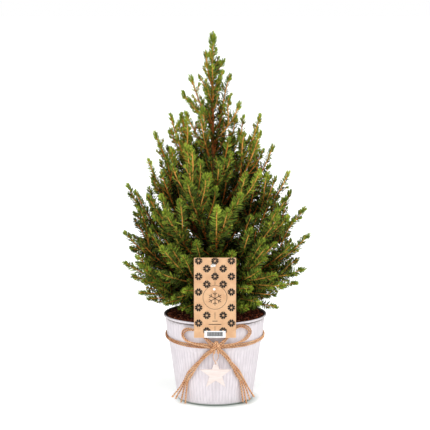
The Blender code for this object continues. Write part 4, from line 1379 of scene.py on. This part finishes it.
def make_string(jute):
    """A thin thread from the knot through the star's hole and back."""
    hole = STAR_CENTRE + [0, 0, STAR_HOLE_UP]
    top = KNOT_CENTRE[2] - STRING_BELOW_KNOT
    start, end = [(hole[0] + x * MM, hole[1] + y * MM, top) for x, y in STRING_ENDS]
    corners = [start, *(hole + np.array(STRING_ROUTE) * MM), end]
    batch = Batch()
    strand(batch, smooth_path(corners, STRING_STEP), np.array([1.0, 0, 0.3]), radius=STRING_RADIUS)
    batch.piece("star_thread", jute, ["star_string"])


# ------------------------------------------------------------------ tag
TAG_THICK = 0.5 * MM
PRINT_LIFT = 0.02 * MM
PRINT_THICK = 0.06 * MM
PETAL_REACHES = (1.2 * MM, 2.9 * MM, 5.3 * MM)  # how far out its foot, waist and end are
PETAL_HALF_WIDTHS = (0.35 * MM, 1.12 * MM, 1.45 * MM)
PETAL_SLANT = 0.7 * MM  # how much farther one corner of its end reaches than the other
PRINT_MARGIN = 0.2 * MM
LATTICE = 10.9 * MM  # between neighbouring columns of printed stars
LATTICE_ROW = 10.5 * MM
LATTICE_TOP = 103.8 * MM
LATTICE_ROWS = 10
CIRCLE_HEIGHT = 54.6 * MM
CIRCLE_RADIUS = 16.2 * MM
CIRCLE_LINE = 0.5 * MM
LINES = ((94.5, 87), (76, 71), (34.5, 25), (15.5, 9.6))  # heights of the upright lines' ends
LINE_WIDTH = 0.55 * MM
CAPTION_TOP = 30 * MM
CAPTION_RULES = ((22.6, 3.4), (18.2, 8.4))  # height and half width (mm) of two plain rules
CAPTION_THICK = 0.45 * MM  # half of a rule's thickness
SNOWFLAKE_REACH = 9.5 * MM
SNOWFLAKE_BELOW = 1.5 * MM  # how far its middle is below the circle's
SNOWFLAKE_LINE = 0.42 * MM
SNOWBALL = 1.7 * MM
SNOWBALL_PLACE = (-1 * MM, CIRCLE_HEIGHT + 11 * MM)
STICKER = (28.4 * MM, 9.2 * MM)
STICKER_FOOT = 0.2 * MM
BARS = 17
BAR_PITCH = 1.22 * MM
BAR_HALF_WIDTHS = (0.52 * MM, 0.4 * MM, 0.46 * MM)  # taken in turn
BAR_HALF_HEIGHT = 2.9 * MM


def on_tag(points, lift):
    """Places points given on the tag's face (across, up from its foot), lifted off it."""
    points = np.asarray(points, float)
    up = np.array([0, math.sin(TAG_LEAN), math.cos(TAG_LEAN)])
    out = np.array([0, -math.cos(TAG_LEAN), math.sin(TAG_LEAN)])
    lifted = TAG_THICK / 2 + np.broadcast_to(lift, len(points))
    return (
        TAG_FOOT + points[:, :1] * np.array([1.0, 0, 0]) + points[:, 1:2] * up + lifted[:, None] * out
    )


def print_patch(batch, outline, lift=PRINT_LIFT, thick=PRINT_THICK, finish=0):
    """A thin raised patch of a convex outline on the tag."""
    outline = np.array(outline)
    back = on_tag(outline, lift)
    front = on_tag(outline, lift + thick)
    batch.add(*capped(np.stack([back, front])), finish)


def bar(centre, half_width, half_height, turn=0.0):
    """The corners of a rectangle on the tag's face."""
    c, s = polar(turn)
    corners = np.array([(-1, -1), (1, -1), (1, 1), (-1, 1)]) * [half_width, half_height]
    return centre + corners @ [[c, s], [-s, c]]


def eight_petals(batch, middle):
    """The traditional eight-petalled star: pairs of broad petals round an open middle."""
    foot, waist, end = PETAL_REACHES
    foot_width, waist_width, end_width = PETAL_HALF_WIDTHS
    for k in range(8):
        angle = math.pi / 8 + math.pi * k / 4
        ahead = polar(angle)
        aside = np.array([-ahead[1], ahead[0]])
        slants = (PETAL_SLANT, 0) if k % 2 else (0, PETAL_SLANT)
        petal = middle + np.array([
            ahead * foot - aside * foot_width, ahead * waist - aside * waist_width,
            ahead * (end - slants[0]) - aside * end_width, ahead * (end - slants[1]) + aside * end_width,
            ahead * waist + aside * waist_width, ahead * foot + aside * foot_width,
        ])
        petal[:, 1] = np.minimum(petal[:, 1], TAG_HEIGHT - PRINT_MARGIN)
        from_circle = math.hypot(petal[:, 0].mean(), petal[:, 1].mean() - CIRCLE_HEIGHT)
        if from_circle > CIRCLE_RADIUS + CIRCLE_LINE:
            print_patch(batch, petal)


def snowflake(batch, middle, size, width):
    """Six plain arms with a pair of side arms each."""
    for k in range(6):
        turn = math.pi * k / 3 + math.pi / 6
        ahead = polar(turn)
        print_patch(batch, bar(middle + ahead * size / 2, size / 2, width, turn))
        for lean in (0.95, -0.95):
            arm = polar(turn + lean, size * 0.36)
            print_patch(batch, bar(middle + ahead * size * 0.58 + arm / 2, size * 0.18, width, turn + lean))


def print_stars(batch):
    """The lattice of stars, left open where the circle, the caption and the edges are."""
    limit = TAG_HALF_WIDTH - 4 * MM
    for row in range(LATTICE_ROWS):
        height = LATTICE_TOP - row * LATTICE_ROW
        for column in range(-2, 3):
            across = column * LATTICE
            captioned = column == 0 and height < CAPTION_TOP
            if (column + row) % 2 == 0 and abs(across) < limit and not captioned:
                eight_petals(batch, np.array([across, height]))


def print_circle(batch):
    """A fine ring with a snowflake and a snowball in it."""
    insets = (CIRCLE_LINE, 0, 0, CIRCLE_LINE, CIRCLE_LINE)
    lifts = (PRINT_LIFT, PRINT_LIFT, PRINT_THICK, PRINT_THICK, PRINT_LIFT)
    loops = np.array([
        on_tag(ring_of(CIRCLE_RADIUS - inset, (0, CIRCLE_HEIGHT), 72), lift)
        for inset, lift in zip(insets, lifts)
    ])
    batch.add(loops, lattice(len(insets), 72))
    middle = np.array([0, CIRCLE_HEIGHT - SNOWFLAKE_BELOW])
    snowflake(batch, middle, SNOWFLAKE_REACH, SNOWFLAKE_LINE)
    print_patch(batch, ring_of(SNOWBALL, SNOWBALL_PLACE, 14), finish=1)


def print_sticker(batch):
    """A white sticker with even plain bars, which encode nothing."""
    middle = STICKER_FOOT + STICKER[1] / 2
    patch = bar((0, middle), STICKER[0] / 2, STICKER[1] / 2)
    print_patch(batch, patch, 0.03 * MM, 0.12 * MM, 1)
    for k in range(BARS):
        place = ((k - (BARS - 1) / 2) * BAR_PITCH, middle + 0.2 * MM)
        stripe = bar(place, BAR_HALF_WIDTHS[k % 3], BAR_HALF_HEIGHT)
        print_patch(batch, stripe, 0.17 * MM, 0.03 * MM, 2)


def make_tag_print(finishes):
    """All that is printed and stuck on the tag. finishes are ink, white paper and grey ink."""
    batch = Batch()
    print_stars(batch)
    for start, end in LINES:
        print_patch(batch, bar((0, (start + end) / 2 * MM), LINE_WIDTH / 2, (start - end) / 2 * MM))
    print_circle(batch)
    for height, half_width in CAPTION_RULES:
        print_patch(batch, bar((0, height * MM), half_width * MM, CAPTION_THICK))
    print_sticker(batch)
    batch.piece("tag_print", finishes, smooth=False)


TIE_RADIUS = 0.85 * MM
TIE_STEP = 0.5 * MM
TIE_ROUTE = (  # mm: from the shoot behind the tag, through the tag's hole, and tied off in front
    (2, -60, 201.5), (0.4, -62.5, 200.6), (-1.6, -66, 199.4), (-2.4, -69.6, 198.4),
    (-3.2, -71.6, 197.9), (-5.2, -71.9, 196.9), (-4.4, -72.4, 195.6), (-2, -73, 196.6),
    (-0.4, -72.2, 197.9), (0.4, -71.5, 196.5), (-1.4, -71.4, 195.8),
)


def make_tie(coated):
    """A coated tie that holds the tag to the shoot behind it, knotted in front of the hole."""
    path = smooth_path(np.array(TIE_ROUTE) * MM, TIE_STEP)
    batch = Batch()
    batch.add(*tube(path, np.full(len(path), TIE_RADIUS), 8, np.array([1.0, 0.2, 0.4])))
    batch.piece("tag_wire", [coated], ["tag_tie"])


# ------------------------------------------------------------------ floor, light and camera
CAMERA_PLACE = (0, -3.2, 0.798)
CAMERA_TILT = math.radians(9.67)  # downwards
IMAGE_SIZE = 430
FOCAL_PIXELS = 2400
SUNS = (  # name, heading, height, strength and spread; angles in degrees
    ("key_left", 225, 34, 0.94, 40), ("key_right", 315, 34, 0.96, 40), ("top", 275, 70, 1.75, 60),
)
SKY_LIGHT = 0.28
SKY_SHOWN = 1.0  # what the camera sees of it
FLOOR_HALF = 6.0
FLOOR_GLOW = 0.42
FLOOR_COLOUR = (0.85, 0.85, 0.85)
# Painted shadow on the floor round the pot's foot: its colour, reach and middle.
FLOOR_PAINTED_SHADOW = (0.5, 0.55, 0.52)  # painted shadow, close round the pot's foot
PAINTED_SHADOW_REACH = (-6 * MM, 14 * MM)  # the painted shadow's reach, from just under the pot's edge outwards
PAINTED_SHADOW_MIDDLE = (2.5 * MM, -9 * MM)


def floor_finish():
    """Pale and faintly glowing, with a painted shadow round the pot's foot, where the glow fades too."""
    finish = Finish("pale_floor", FLOOR_COLOUR, 0.9, 0.1)
    x, y, _ = finish.axes()
    x = finish.math("SUBTRACT", x, PAINTED_SHADOW_MIDDLE[0])
    y = finish.math("SUBTRACT", y, PAINTED_SHADOW_MIDDLE[1])
    away = finish.math("SUBTRACT", finish.distance(x, y), FOOT_RADIUS)
    # The floor's colour and glow fade into the painted shadow near the foot.
    outside_painted_shadow = finish.math("POWER", finish.ramp(away, *PAINTED_SHADOW_REACH), 0.8)
    finish.colour(finish.mix(outside_painted_shadow, FLOOR_PAINTED_SHADOW, FLOOR_COLOUR))
    finish.shader.inputs["Emission Color"].default_value = (0.97, 1, 0.98, 1)
    finish.drive("Emission Strength", finish.times(outside_painted_shadow, FLOOR_GLOW))
    return finish.material


def make_floor():
    mesh = bpy.data.meshes.new("floor")
    corners = [(x * FLOOR_HALF, y * FLOOR_HALF, 0) for x, y in ((-1, -1), (1, -1), (1, 1), (-1, 1))]
    mesh.from_pydata(corners, [], [(0, 1, 2, 3)])
    mesh.materials.append(floor_finish())
    floor = placed("floor", mesh)


def soft_sun(name, heading, height, strength, spread):
    """Even light from one side of the sky. heading is 0 from +X and 90 from +Y."""
    data = bpy.data.lights.new(name, "SUN")
    data.energy = strength
    data.angle = math.radians(spread)
    lamp = placed(name, data)
    level, rise = polar(math.radians(height))
    source = Vector((*polar(math.radians(heading), level), rise))
    lamp.rotation_euler = source.to_track_quat("Z", "Y").to_euler()


def make_world(strength, shown):
    """Pale surroundings that light the part softly and show as a white background."""
    world = bpy.data.worlds.new("studio")
    bpy.context.scene.world = world
    world.use_nodes = True
    tree = world.node_tree
    plain = tree.nodes["Background"]
    plain.inputs["Strength"].default_value = strength
    plain.inputs["Color"].default_value = (1, 1, 1, 1)
    white = tree.nodes.new("ShaderNodeBackground")
    white.inputs["Color"].default_value = (1, 1, 1, 1)
    white.inputs["Strength"].default_value = shown
    rays = tree.nodes.new("ShaderNodeLightPath")
    either = tree.nodes.new("ShaderNodeMixShader")
    tree.links.new(rays.outputs["Is Camera Ray"], either.inputs[0])
    tree.links.new(plain.outputs[0], either.inputs[1])
    tree.links.new(white.outputs[0], either.inputs[2])
    tree.links.new(either.outputs[0], tree.nodes["World Output"].inputs["Surface"])


def make_camera():
    data = bpy.data.cameras.new("camera")
    data.angle = 2 * math.atan(IMAGE_SIZE / 2 / FOCAL_PIXELS)
    camera = placed("camera", data)
    camera.location = CAMERA_PLACE
    camera.rotation_euler = (math.pi / 2 - CAMERA_TILT, 0, 0)
    bpy.context.scene.camera = camera
    bpy.context.scene.view_settings.view_transform = "Standard"


def tag_finishes():
    ink = speckled_finish("ink", (5, 5, 6), (14, 12, 12), 0.6)
    paper = speckled_finish("white_paper", (236, 236, 236), (226, 226, 228), 0.55)
    grey = speckled_finish("grey_ink", (34, 36, 40), (54, 56, 60), 0.6)
    return [ink, paper, grey]


def build():
    make_camera()
    make_world(SKY_LIGHT, SKY_SHOWN)
    for sun in SUNS:
        soft_sun(*sun)
    make_floor()
    shoots, browns = make_crown()
    make_limbs(shoots, browns)
    make_trunk()
    make_pot()
    make_peat()
    jute = jute_finishes()
    draw = np.random.default_rng(SEED + 3)
    make_band(jute, draw)
    make_bow(jute, draw)
    make_knot(jute, draw)
    make_string(jute)
    make_star()
    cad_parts["tag"].data.materials[0] = card_finish()
    make_tag_print(tag_finishes())
    make_tie(speckled_finish("coated_wire", (240, 240, 236), (226, 226, 222), 0.35))


build()
